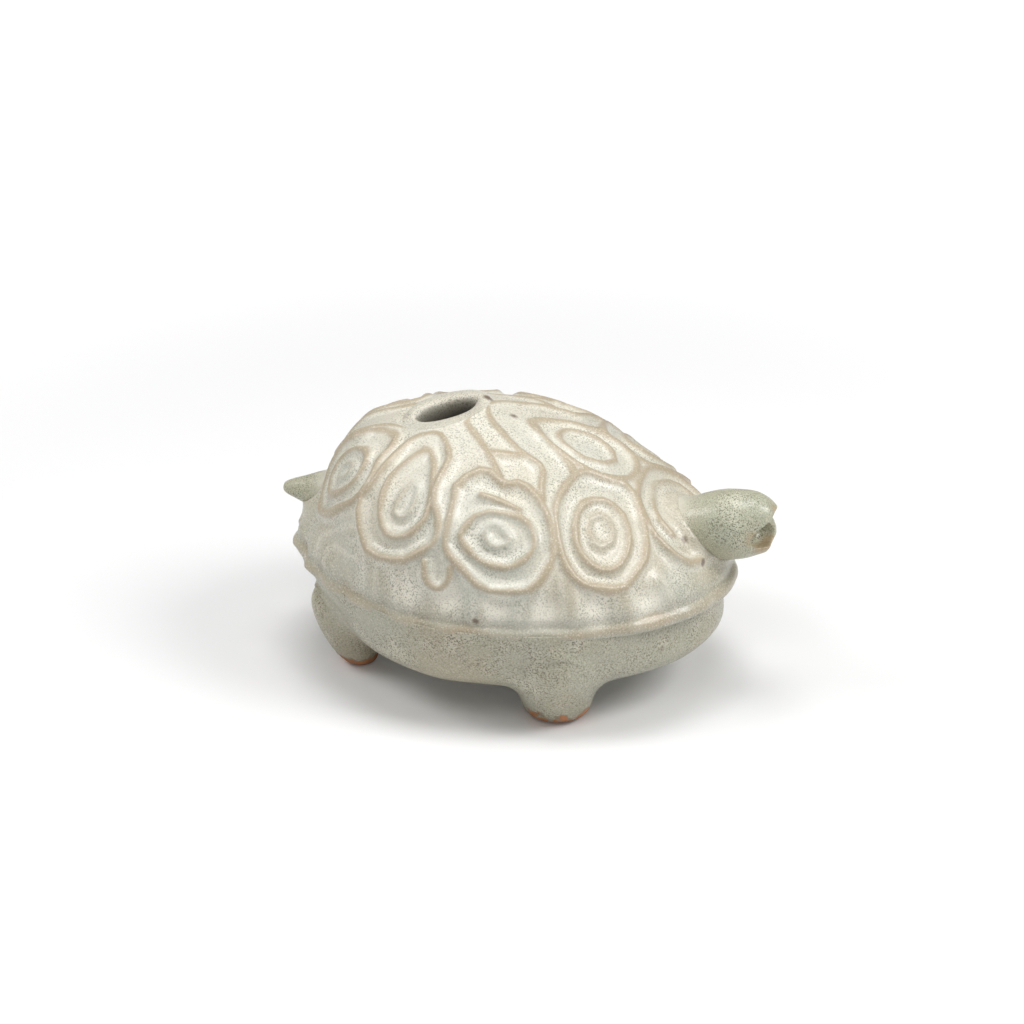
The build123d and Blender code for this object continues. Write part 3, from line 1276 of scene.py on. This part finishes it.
@dataclass(frozen=True)
class Relief:
    """Heights of the rolls, pools, ledge and lobes on the dome, and the bared band along its edge.

    A span is of the flat shell's radius, and the rear span is in degrees round from the head.
    """

    wander: float = 0.28
    wander_size: float = 0.009
    far: float = 0.004
    skirt_share: float = 0.18
    skirt_width: float = 2.6
    full_height: float = 0.0011
    pool_radius: float = 0.0034
    pool_depth: float = 0.00065
    summit_share: float = 0.55
    summit_span: Place = (0.12, 0.45)
    edge_span: Place = (0.84, 0.985)
    edge_fade: float = 0.6
    lip_share: float = 0.86
    ledge_depth: float = 0.0007
    ledge_radius: float = 0.955
    ledge_width: float = 0.022
    lobe_height: float = 0.0005
    rear_lobe_height: float = 0.0013
    rear_span: Place = (125, 150)
    lobe_reach: float = 6.5
    broad_swell: float = 0.00020
    fine_swell: float = 0.00008
    ledge_end: Place = (0.96, 1.0)
    edge_calm: float = 0.8
    broad_size: float = 0.017
    fine_size: float = 0.006
    end_share: float = 0.6
    limb_room: float = 0.004
    band_span: Place = (0.925, 0.985)
    band_wander: float = 0.02
    band_size: float = 0.012
    band_share: float = 0.62
    band_swing: float = 0.22
    band_patch: float = 0.016

    def rolls(self, base: Array) -> tuple[Array, Array, Array]:
        """Lays the rolls on the dome.

        Args:
            base: Places of the plain dome.

        Returns:
            Heights, how much each place is on a crest, and the distance to the nearest roll.
        """
        height, ridge, away = np.zeros(len(base)), np.zeros(len(base)), np.ones(len(base))
        wander = 1.0 + self.wander * hand_noise(base, self.wander_size, 3.0)
        for roll in ROLLS:
            width = roll.width * wander
            for path in roll.paths():
                near = line_distance(base, path, self.far)
                crest = bump(near, width)
                skirt = bump(near, self.skirt_width * width)
                shape = (1 - self.skirt_share) * crest + self.skirt_share * skirt
                height = np.maximum(height, roll.height * shape)
                ridge = np.maximum(ridge, crest * min(1.0, roll.height / self.full_height) ** 2)
                away = np.minimum(away, near)
        return height, ridge, away

    def pools(self, base: Array) -> Array:
        """Finds the hollows where glaze gathers.

        Args:
            base: Places of the plain dome.

        Returns:
            1 in the middle of a pool, fading to 0 round it.
        """
        pool = np.zeros(len(base))
        for along, across in POOLS:
            for side in (1, -1):
                centre = BODY.dome(np.array([(along, side * across)]))[0]
                pool = np.maximum(pool, bump(np.linalg.norm(base - centre, axis=1), self.pool_radius))
        return pool

    def lobes(self, bearing: Array) -> Array:
        """Scalloping of the rim, a low swelling for each marginal scute.

        Args:
            bearing: Angles round the shell from the head.

        Returns:
            Heights, none above 0.
        """
        back = np.degrees(np.abs(bearing))
        near = np.min(np.abs(back[:, None] - np.array(NOTCH_BEARINGS, float)[None, :]), axis=1)
        more = (self.rear_lobe_height - self.lobe_height) * smooth_step(back, *self.rear_span)
        return -(self.lobe_height + more) * (1 - smooth_step(near, 0.0, self.lobe_reach))

    def dress(self, places: Array, neck: Limb, tail: Limb) -> tuple[Array, ...]:
        """Works out the relief at places.

        Args:
            places: Places on the flat shell.
            neck: The neck, near which the relief fades.
            tail: The tail, near which it fades too.

        Returns:
            Points of the plain dome, heights over them, how much each is on a ridge or in a pool, and the
            distance to a ridge.
        """
        base = BODY.dome(places)
        height, ridge, away = self.rolls(base)
        pool = self.pools(base)
        radius = np.hypot(places[:, 0], places[:, 1])
        edge = smooth_step(radius, *self.edge_span)
        away_from_summit = smooth_step(radius, *self.summit_span)
        height = height * (self.summit_share + (1 - self.summit_share) * away_from_summit)
        height = height - self.pool_depth * pool
        lobes = self.lobes(np.arctan2(places[:, 1], places[:, 0]))
        height = height * (1 - self.edge_fade * edge) + BODY.lip * self.lip_share * edge + lobes * edge
        ledge = self.ledge_depth * bump(radius - self.ledge_radius, self.ledge_width)
        height = height - ledge * (1 - smooth_step(radius, *self.ledge_end))
        calm = 1 - self.edge_calm * edge
        height = height + self.broad_swell * hand_noise(base, self.broad_size, 7.0) * calm
        height = height + self.fine_swell * hand_noise(base, self.fine_size, 9.0)
        near_limb = np.minimum(neck.distance(base), tail.distance(base))
        ends = np.abs(base[:, 0] - BODY.middle_x) > self.end_share * BODY.rear_reach
        fade = np.where(ends, smooth_step(near_limb, 0.0, self.limb_room), 1.0)
        ragged = radius + self.band_wander * hand_noise(base, self.band_size, 6.0)
        bared = self.band_share + self.band_swing * hand_noise(base, self.band_patch, 8.0)
        ridge = np.maximum(ridge * fade, bared * smooth_step(ragged, *self.band_span))
        return base, height * fade, ridge, pool, away


@dataclass(frozen=True)
class Carapace:
    """The moulded upper shell: relief outside, plain inside, with the filling hole and the drawn-out rim.

    It is shaped from a ring. Going round the ring's section, the outside ends at the dome share, the lip
    at the lip share and the inside at the inner share, and the rim's underside takes the rest. The hole
    ring gives the collar's middle and half sizes on the flat shell. The edge section is out and up from
    the rim, and follows on the inner face of the wall.
    """

    around: int = 480
    steps: int = 200
    dome_share: float = 0.66
    lip_share: float = 0.75
    inner_share: float = 0.95
    hole_ring: tuple[float, float, float] = (-0.105, 0.115, 0.155)
    neck_reach: float = 0.0042
    tail_reach: float = 0.0030
    collar_span: Place = (0.74, 1.0)
    wall_span: Place = (0.80, 1.0)
    skirt_span: Place = (0.70, 1.0)
    wall_drop: float = -0.0003
    edge_section: tuple[Place, ...] = (
        (-0.0012, -0.0006), (0.0001, -0.0009), (0.00062, -0.0006), (0.00077, 0.0),
    )
    hole: FillingHole = FillingHole()
    relief: Relief = Relief()

    def places(self, share: Array, bearing: Array) -> Array:
        """Places on the flat shell for a share of the way from the rim to the collar.

        Args:
            share: Shares of the way.
            bearing: Angles round the shell.

        Returns:
            The places.
        """
        middle, half_along, half_across = self.hole_ring
        ring = np.stack((middle + half_along * np.cos(bearing), half_across * np.sin(bearing)), axis=1)
        return blended(compass(bearing), ring, share)

    def build(self, neck: Limb, tail: Limb, material: Material) -> None:
        """Models and dresses the carapace.

        Args:
            neck: The neck that grows from it.
            tail: The tail that grows from it.
            material: Its glaze.
        """
        sizes = {"major_segments": self.around // 2, "minor_segments": self.steps // 2}
        piece = add_primitive(bpy.ops.mesh.primitive_torus_add, major_radius=1, minor_radius=0.5, **sizes)
        edit_all(piece, partial(bpy.ops.mesh.subdivide, number_cuts=1))
        ring = read_points(piece)
        bearing = np.arctan2(ring[:, 1], ring[:, 0])
        turn = np.arctan2(ring[:, 2], np.hypot(ring[:, 0], ring[:, 1]) - 1) / (2 * math.pi)
        turn = np.where(turn < -1e-6, turn + 1, np.clip(turn, 0, None))
        outside = turn <= self.dome_share
        points, ridge, pool, away = self.outside(turn / self.dome_share, bearing, neck, tail)
        lip_turn = (turn - self.dome_share) / (self.lip_share - self.dome_share)
        lip = self.hole.lip(bearing, lip_turn)
        back = 1 - np.clip((turn - self.lip_share) / (self.inner_share - self.lip_share), 0, 1)
        inner = self.inside(bearing, back)
        under = self.rim_underside(bearing, (turn - self.inner_share) / (1 - self.inner_share))
        chosen = np.where(outside[:, None], points, lip)
        chosen = np.where((turn > self.lip_share)[:, None], inner, chosen)
        chosen = np.where((turn > self.inner_share)[:, None], under, chosen)
        write_points(piece, inside_box(chosen))
        write_value(piece, "ridge", np.where(outside, ridge, 0.35))
        write_value(piece, "pool", np.where(outside, pool, 0))
        write_value(piece, "away", np.where(outside, away, 0.003))
        # Marks the hole's wall and the dome's underside for painted shade inside the filling hole.
        write_value(piece, "painted_hole_shade", smooth_step(lip_turn, 0.50, 0.95) * (turn <= self.inner_share))
        finish_piece(piece, "carapace", material)

    def outside(self, turn: Array, bearing: Array, neck: Limb, tail: Limb) -> tuple[Array, ...]:
        """Shapes the outer surface from the rim up to the hole's collar.

        Args:
            turn: Shares of the way up, past 1 for what isn't outside.
            bearing: Angles round the shell.
            neck: The neck that grows from it.
            tail: The tail that grows from it.

        Returns:
            Places, how much each is on a ridge or in a pool, and the distance to a ridge.
        """
        share = np.clip(turn, 0, 1)
        places = self.places(share, bearing)
        base, height, ridge, pool, away = self.relief.dress(places, neck, tail)
        normals = BODY.dome_normals(places)
        points = base + normals * height[:, None]
        for limb, end, reach in ((neck, neck.end, self.neck_reach), (tail, tail.start, self.tail_reach)):
            same_end = (base[:, 0] - BODY.middle_x) * (end[0] - BODY.middle_x) > 0
            moved = join_softly(points, normals, limb.distance, reach)
            points = np.where(same_end[:, None], moved, points)
        collar = self.hole.circle(bearing, *self.hole.section[0])
        points = blended(points, collar, smooth_step(share, *self.collar_span))
        radius = np.hypot(places[:, 0], places[:, 1])
        points = points + flare(bearing, smooth_step(radius, *self.skirt_span))
        return points, np.maximum(ridge, 0), pool, away

    def inside(self, bearing: Array, share: Array) -> Array:
        """Underside of the dome.

        Args:
            bearing: Angles round the shell.
            share: Shares of the way from the rim to the hole.

        Returns:
            The places.
        """
        points = BODY.dome(self.places(share, bearing), inset=BODY.wall)
        wall_end = self.hole.circle(bearing, self.hole.radius, self.hole.section[-1][1])
        return blended(points, wall_end, smooth_step(share, *self.wall_span))

    def rim_underside(self, bearing: Array, turn: Array) -> Array:
        """Rounded underside of the rim.

        Args:
            bearing: Angles round the shell.
            turn: Shares of the way from the inner wall out to the edge.

        Returns:
            The places.
        """
        wall, edge = -BODY.wall, self.edge_section[-1][0]
        out, up = along_section(((wall, 0.0), (wall, self.wall_drop), *self.edge_section), turn)
        direction = compass(bearing) / (BODY.front_reach, BODY.half_width)
        direction = direction / np.linalg.norm(direction, axis=1)[:, None]
        lobe = self.relief.lobes(bearing) * smooth_step(turn, 0.6, 1.0)
        points = BODY.dome(compass(bearing))
        points[:, :2] += direction * (out + lobe)[:, None]
        points[:, 2] += up
        return points + flare(bearing, np.clip((out - wall) / (edge - wall), 0, 1) ** 2)


# Glazes


def paint(red: int, green: int, blue: int) -> Colour:
    """Colour for a shader from the numbers that a screen shows."""
    shares = (red / 255, green / 255, blue / 255)
    return tuple(s / 12.92 if s <= 0.04045 else ((s + 0.055) / 1.055) ** 2.4 for s in shares)


@dataclass
class Value:
    """A number in a material that changes over the surface, for sums in plain Python."""

    recipe: "Recipe"
    socket: bpy.types.NodeSocket

    def math(self, operation: str, *others: object, first: bool = True) -> "Value":
        """Adds one Math node of this value and others.

        Args:
            operation: What it works out.
            others: The other values.
            first: Whether this value comes before them.

        Returns:
            Its result.
        """
        inputs = (self, *others) if first else (*others, self)
        node = self.recipe.node("ShaderNodeMath", {"operation": operation}, dict(enumerate(inputs)))
        return Value(self.recipe, node.outputs[0])

    def __add__(self, other: object) -> "Value":
        """Sum."""
        return self.math("ADD", other)

    def __sub__(self, other: object) -> "Value":
        """Difference."""
        return self.math("SUBTRACT", other)

    def __rsub__(self, other: object) -> "Value":
        """Difference, reflected."""
        return self.math("SUBTRACT", other, first=False)

    def __mul__(self, other: object) -> "Value":
        """Product."""
        return self.math("MULTIPLY", other)

    __radd__ = __add__
    __rmul__ = __mul__

    def clipped(self) -> "Value":
        """Held between 0 and 1."""
        return self.math("MAXIMUM", 0.0).math("MINIMUM", 1.0)

    def step(self, low: float, high: float) -> "Value":
        """Eases from 0 to 1 over a range.

        Args:
            low: Where it is 0.
            high: Where it is 1.

        Returns:
            The eased value.
        """
        inputs = {"Value": self, "From Min": low, "From Max": high}
        node = self.recipe.node("ShaderNodeMapRange", {"interpolation_type": "SMOOTHSTEP"}, inputs)
        return Value(self.recipe, node.outputs[0])


class Recipe:
    """The node tree of one glaze."""

    def __init__(self, name: str) -> None:
        """Starts a material with its shader.

        Args:
            name: The material's name.
        """
        self.material = bpy.data.materials.new(name)
        self.material.use_nodes = True
        self.tree = self.material.node_tree
        self.shader = self.tree.nodes["Principled BSDF"]
        self.place = self.node("ShaderNodeTexCoord", {}, {}).outputs["Object"]

    def node(self, kind: str, settings: dict[str, object], inputs: dict[object, object]) -> bpy.types.Node:
        """Adds a node.

        Args:
            kind: The node's type.
            settings: Its options, set first.
            inputs: A value, colour or socket for each input by name or number.

        Returns:
            The node.
        """
        made = self.tree.nodes.new(kind)
        for key, value in settings.items():
            setattr(made, key, value)
        for key, value in inputs.items():
            self.feed(made.inputs[key], value)
        return made

    def feed(self, target: bpy.types.NodeSocket, value: object) -> None:
        """Links or sets one input.

        Args:
            target: The input.
            value: A value or socket to link, or a number or colour to set.
        """
        if isinstance(value, Value):
            self.tree.links.new(value.socket, target)
        elif isinstance(value, bpy.types.NodeSocket):
            self.tree.links.new(value, target)
        elif isinstance(value, tuple) and len(value) == 3 and target.type == "RGBA":
            target.default_value = (*value, 1.0)
        else:
            target.default_value = value

    def noise(self, size: float, detail: float = 2.0, rough: float = 0.5) -> Value:
        """Cloudy pattern whose swells are about one size across, in metres."""
        inputs = {"Vector": self.place, "Scale": 1 / size, "Detail": detail, "Roughness": rough}
        return Value(self, self.node("ShaderNodeTexNoise", {}, inputs).outputs["Fac"])

    def layer(self, name: str) -> Value:
        """A value that the mesh holds at its vertices."""
        return Value(self, self.node("ShaderNodeAttribute", {"attribute_name": name}, {}).outputs["Fac"])

    def axis(self, letter: str) -> Value:
        """Place along X, Y or Z in metres."""
        return Value(self, self.node("ShaderNodeSeparateXYZ", {}, {0: self.place}).outputs[letter])

    def mix(self, first: object, second: object, share: Value) -> bpy.types.NodeSocket:
        """Blend of two colours."""
        return self.node("ShaderNodeMix", {"data_type": "RGBA"}, {0: share, 6: first, 7: second}).outputs[2]

    def near(self, point: Point, radius: float) -> Value:
        """1 at a point, fading to 0 at a radius."""
        made = self.node("ShaderNodeVectorMath", {"operation": "DISTANCE"}, {0: self.place, 1: point})
        return 1 - Value(self, made.outputs["Value"]).step(0.35 * radius, radius)


PITS = (
    ((0.0348, -0.0072, 0.0354), 0.0014),
    ((0.0392, -0.0083, 0.0315), 0.0012),
    ((0.0342, -0.0198, 0.0169), 0.0012),
    ((-0.0024, 0.0002, 0.0556), 0.0013),
    ((0.0019, 0.0075, 0.0545), 0.0016),
    ((0.0058, 0.0032, 0.0546), 0.0013),
    ((-0.0087, 0.0026, 0.0570), 0.0016),
    ((-0.0110, -0.0362, 0.0255), 0.0010),
    ((-0.0004, -0.0361, 0.0267), 0.0010),
)
LIP_MARKS = (
    ((0.0521, 0.0, 0.0405), 0.0022),
    ((0.0499, -0.0030, 0.0338), 0.0026),
    ((0.0511, -0.0005, 0.0342), 0.0026),
    ((0.0477, -0.0042, 0.0364), 0.0026),
)


@dataclass(frozen=True)
class Glaze:
    """A celadon glaze: thick and pale in the hollows, thin and buff over the edges, finely speckled."""

    name: str
    body: Colour
    cool: Colour
    pale: Colour
    thin: Colour
    speck: Colour
    speck_size: float = 0.00042
    speck_share: float = 0.5
    roughness: float = 0.34
    shaped: bool = False
    limbs: bool = False
    # Darker tone low on the shell: partly the glaze's own olive tone, partly painted shade under the dome.
    low: Colour = paint(172, 168, 150)
    joint: Colour = paint(206, 202, 186)
    clay: Colour = paint(190, 128, 84)
    dark_clay: Colour = paint(150, 104, 66)
    burnt_edge: Colour = paint(112, 88, 60)
    pit: Colour = paint(92, 66, 44)
    # Painted shade in the scooped mouth of the spout.
    mouth: Colour = paint(98, 84, 58)
    # Painted shade inside the filling hole, over its darker bare inside.
    inside: Colour = paint(62, 58, 48)

    def material(self) -> Material:
        """Mixes the glaze.

        Returns:
            The material.
        """
        r = Recipe(self.name)
        broad, patch = r.noise(0.022, 3.0), r.noise(0.006, 3.0)
        grain = r.noise(self.speck_size, 1.5, 0.6)
        dark = 1 - grain.step(0.36, 0.50)
        amount = dark * self.speck_share * (0.55 + 0.9 * patch.step(0.35, 0.65))
        colour = r.mix(self.body, self.cool, broad.step(0.42, 0.62))
        colour = r.mix(colour, self.pale, patch.step(0.52, 0.72) * 0.45)
        if self.shaped:
            ridge = r.layer("ridge")
            colour = self.over_relief(r, colour, ridge, broad, patch)
            amount = amount * (1 - 0.6 * ridge.step(0.3, 0.8))
        colour = r.mix(colour, self.speck, amount.clipped())
        colour = r.mix(colour, self.pale, grain.step(0.56, 0.70) * 0.5)
        if self.limbs:
            colour = self.over_limbs(r, colour, patch)
        colour, bare = self.bare_clay(r, colour, patch)
        for point, radius in PITS:
            colour = r.mix(colour, self.pit, r.near(point, radius) * 0.8)
        if self.shaped:
            # Painted shade: the inside of the filling hole is painted dark where the mesh marks it.
            colour = r.mix(colour, self.inside, r.layer("painted_hole_shade"))
        relief = grain * 0.35 + r.noise(0.0022, 2.0) * 1.0 + patch * 1.2
        dents = r.node("ShaderNodeBump", {}, {"Strength": 0.35, "Distance": 0.00016, "Height": relief})
        looks = {
            "Base Color": colour,
            "Roughness": self.roughness + 0.10 * (patch - 0.5) + 0.10 * dark + 0.35 * bare,
            "Normal": dents.outputs[0],
            "Coat Roughness": 0.22,
            "Coat Weight": 0.15,
        }
        for name, value in looks.items():
            r.feed(r.shader.inputs[name], value)
        return r.material

    def over_relief(self, r: Recipe, colour: object, ridge: Value, broad: Value, patch: Value) -> object:
        """Lets the glaze gather in the hollows and run thin over the ridges; paints light towards the top of
        the dome and shade low on the shell, each partly the glaze's own tone.

        Args:
            r: The material.
            colour: The glaze's colour.
            ridge: How much each place is on a ridge.
            broad: The wide clouds.
            patch: The small clouds.

        Returns:
            The colour.
        """
        away, pool, height = r.layer("away"), r.layer("pool"), r.axis("Z")
        # Painted light: paler towards the top of the dome, partly the pale glaze there and partly light from
        # above.
        colour = r.mix(colour, self.pale, (height + 0.012 * (broad - 0.5)).step(0.034, 0.056) * 0.6)
        valley = away.step(0.0007, 0.0014) * (1 - away.step(0.0017, 0.0030))
        colour = r.mix(colour, self.pale, valley * 0.38)
        colour = r.mix(colour, self.pale, (pool * 1.1).clipped())
        # Painted shade: darker low on the shell towards the rim, partly the glaze's olive tone and partly
        # shade under the dome.
        low = 1 - (height + 0.010 * (broad - 0.5)).step(0.0245, 0.0330)
        colour = r.mix(colour, self.low, low * (1 - pool) * 0.7)
        edge = (ridge + 0.9 * (patch - 0.5)).step(0.34, 0.92)
        return r.mix(colour, self.thin, edge * 0.84)

    def over_limbs(self, r: Recipe, colour: object, patch: Value) -> object:
        """Pales the joints of the head and the tail, darkens the lips, and paints shade into the scooped
        mouth.

        Args:
            r: The material.
            colour: The glaze's colour.
            patch: The small clouds.

        Returns:
            The colour.
        """
        x = r.axis("X") + 0.0020 * (patch - 0.5)
        free = (x.step(0.0305, 0.0385) + (0 - x).step(0.0415, 0.0460)).clipped()
        colour = r.mix(self.joint, colour, free)
        first, *others = (r.near(point, radius) for point, radius in LIP_MARKS)
        lip = sum(others, first).clipped()
        colour = r.mix(colour, self.thin, (lip * (0.35 + patch)).clipped() * 0.75)
        # Painted shade: the scooped mouth is painted dark.
        return r.mix(colour, self.mouth, r.near((0.0499, -0.0018, 0.0362), 0.0030) * 0.85)

    def bare_clay(self, r: Recipe, colour: object, patch: Value) -> tuple[object, Value]:
        """Leaves bare orange clay along the foot's ragged edge.

        Args:
            r: The material.
            colour: The glaze's colour.
            patch: The small clouds.

        Returns:
            The colour, and how bare each place is.
        """
        line = r.axis("Z") - 0.0085 * (r.noise(0.0028, 3.0) - 0.28)
        bare = 1 - line.step(0.0004, 0.0008)
        colour = r.mix(colour, r.mix(self.clay, self.dark_clay, patch.step(0.4, 0.6)), bare)
        halo = (1 - line.step(0.0007, 0.0017)) * (1 - bare)
        return r.mix(colour, self.burnt_edge, halo * 0.6), bare


SHELL_GLAZE = Glaze(
    "shell_celadon",
    body=paint(194, 187, 168),
    cool=paint(188, 190, 178),
    pale=paint(230, 226, 212),
    thin=paint(178, 162, 136),
    speck=paint(134, 132, 114),
    speck_size=0.00034,
    shaped=True,
)
# The belly and the legs take the shell's celadon made darker: painted shade of the underside below the rim.
BELLY_GLAZE_WITH_PAINTED_SHADE = Glaze(
    "belly_celadon_painted_shade",
    body=paint(174, 167, 145),
    cool=paint(172, 171, 153),
    pale=paint(212, 207, 189),
    thin=paint(166, 146, 118),
    speck=paint(116, 110, 92),
    speck_size=0.00034,
    speck_share=0.65,
)
HEAD_GLAZE = Glaze(
    "head_celadon",
    body=paint(182, 180, 157),
    cool=paint(176, 178, 158),
    pale=paint(222, 219, 200),
    thin=paint(176, 152, 116),
    speck=paint(110, 110, 90),
    speck_size=0.00028,
    speck_share=0.7,
    roughness=0.32,
    limbs=True,
)


# The studio


def aimed(name: str, data: bpy.types.ID, place: Point, aim: Point) -> Piece:
    """Puts a camera or a lamp in the scene.

    Args:
        name: Its name.
        data: The camera or the lamp.
        place: Where it hangs.
        aim: The point that it is turned to.

    Returns:
        What holds it.
    """
    holder = bpy.data.objects.new(name, data)
    bpy.context.scene.collection.objects.link(holder)
    holder.location = place
    holder.rotation_euler = (Vector(aim) - Vector(place)).to_track_quat("-Z", "Y").to_euler()
    return holder


@dataclass(frozen=True)
class Lamp:
    """A square soft lamp, with its side in metres and its power in watts."""

    name: str
    place: Point
    side: float
    power: float


LAMPS = (
    Lamp("overhead", (0.02, 0.0, 0.90), 0.40, 3.6),
    Lamp("right", (0.50, -0.04, 0.52), 0.28, 2.6),
    Lamp("left", (-0.48, -0.16, 0.54), 0.28, 1.55),
    Lamp("front", (0.05, -0.50, 0.62), 0.28, 0.7),
)


@dataclass(frozen=True)
class Studio:
    """Pale floor, soft light and the camera."""

    eye: Point = (0.18922, -0.69627, 0.38158)
    aim: Point = (-0.00287, 0.0, 0.0335)
    lamp_aim: Point = (0.0, 0.0, 0.03)
    lens: float = 137.7
    sensor: float = 36.0
    floor_size: float = 6.0
    floor_tone: float = 0.82
    glows: tuple[float, float] = (0.75, 0.05)
    near_reach: float = 0.42
    surroundings: float = 0.20

    def camera(self) -> None:
        """Puts the camera where the photograph was taken from."""
        data = bpy.data.cameras.new("camera")
        data.lens, data.sensor_width = self.lens, self.sensor
        data.clip_start, data.clip_end = 0.01, 20
        bpy.context.scene.camera = aimed("camera", data, self.eye, self.aim)

    def floor(self) -> None:
        """Lays the pale floor, which glows a little for the camera, and more far from the object."""
        floor = add_primitive(bpy.ops.mesh.primitive_plane_add, size=self.floor_size)
        floor.name = "floor"
        r = Recipe("floor_white")
        looks = {
            "Base Color": (self.floor_tone,) * 3,
            "Roughness": 0.9,
            "Specular IOR Level": 0.0,
            "Emission Color": (1.0, 1.0, 1.0),
            "Emission Strength": 0.0,
        }
        for name, value in looks.items():
            r.feed(r.shader.inputs[name], value)
        plain, sums = r.shader.outputs[0], []
        for strength in self.glows:
            glow = r.node("ShaderNodeEmission", {}, {"Color": (1.0, 1.0, 1.0), "Strength": strength})
            sums.append(r.node("ShaderNodeAddShader", {}, {0: plain, 1: glow.outputs[0]}).outputs[0])
        near = r.near((0.0, 0.0, 0.0), self.near_reach)
        seen = r.node("ShaderNodeMixShader", {}, {0: near, 1: sums[0], 2: sums[1]}).outputs[0]
        by_camera = r.node("ShaderNodeLightPath", {}, {}).outputs["Is Camera Ray"]
        choice = r.node("ShaderNodeMixShader", {}, {0: by_camera, 1: plain, 2: seen})
        r.feed(r.tree.nodes["Material Output"].inputs["Surface"], choice.outputs[0])
        floor.data.materials.append(r.material)

    def lamps(self) -> None:
        """Hangs the lamps."""
        for lamp in LAMPS:
            data = bpy.data.lights.new(lamp.name, "AREA")
            data.shape, data.size, data.energy = "SQUARE", lamp.side, lamp.power
            aimed(lamp.name, data, lamp.place, self.lamp_aim)

    def world(self) -> None:
        """Sets even pale surroundings, plain white where the camera sees them."""
        world = bpy.data.worlds.new("studio")
        bpy.context.scene.world = world
        world.use_nodes = True
        tree = world.node_tree
        back, seen = tree.nodes["Background"], tree.nodes.new("ShaderNodeBackground")
        for node, strength in ((back, self.surroundings), (seen, 1.0)):
            node.inputs["Color"].default_value = (1, 1, 1, 1)
            node.inputs["Strength"].default_value = strength
        rays = tree.nodes.new("ShaderNodeLightPath")
        mix = tree.nodes.new("ShaderNodeMixShader")
        for number, output in enumerate((rays.outputs["Is Camera Ray"], back.outputs[0], seen.outputs[0])):
            tree.links.new(output, mix.inputs[number])
        tree.links.new(mix.outputs[0], tree.nodes["World Output"].inputs["Surface"])

    def build(self) -> None:
        """Sets up the camera, the floor and the light."""
        self.camera()
        self.floor()
        self.world()
        self.lamps()
        bpy.context.scene.view_settings.view_transform = "Standard"


def main() -> None:
    """Builds the pieces and the studio in order."""
    logging.basicConfig(level=logging.INFO, format="%(message)s")
    legs, head, tail = Legs(), Head(), Tail()
    shell_material = SHELL_GLAZE.material()
    belly_material = BELLY_GLAZE_WITH_PAINTED_SHADE.material()
    head_material = HEAD_GLAZE.material()
    Carapace().build(head.limb(), tail.limb(), shell_material)
    Belly().build(legs.all(), legs.joint_reach, belly_material)
    legs.build(belly_material)
    head.build(head_material)
    tail.build(head_material)
    Studio().build()


if __name__ == "__main__":
    main()
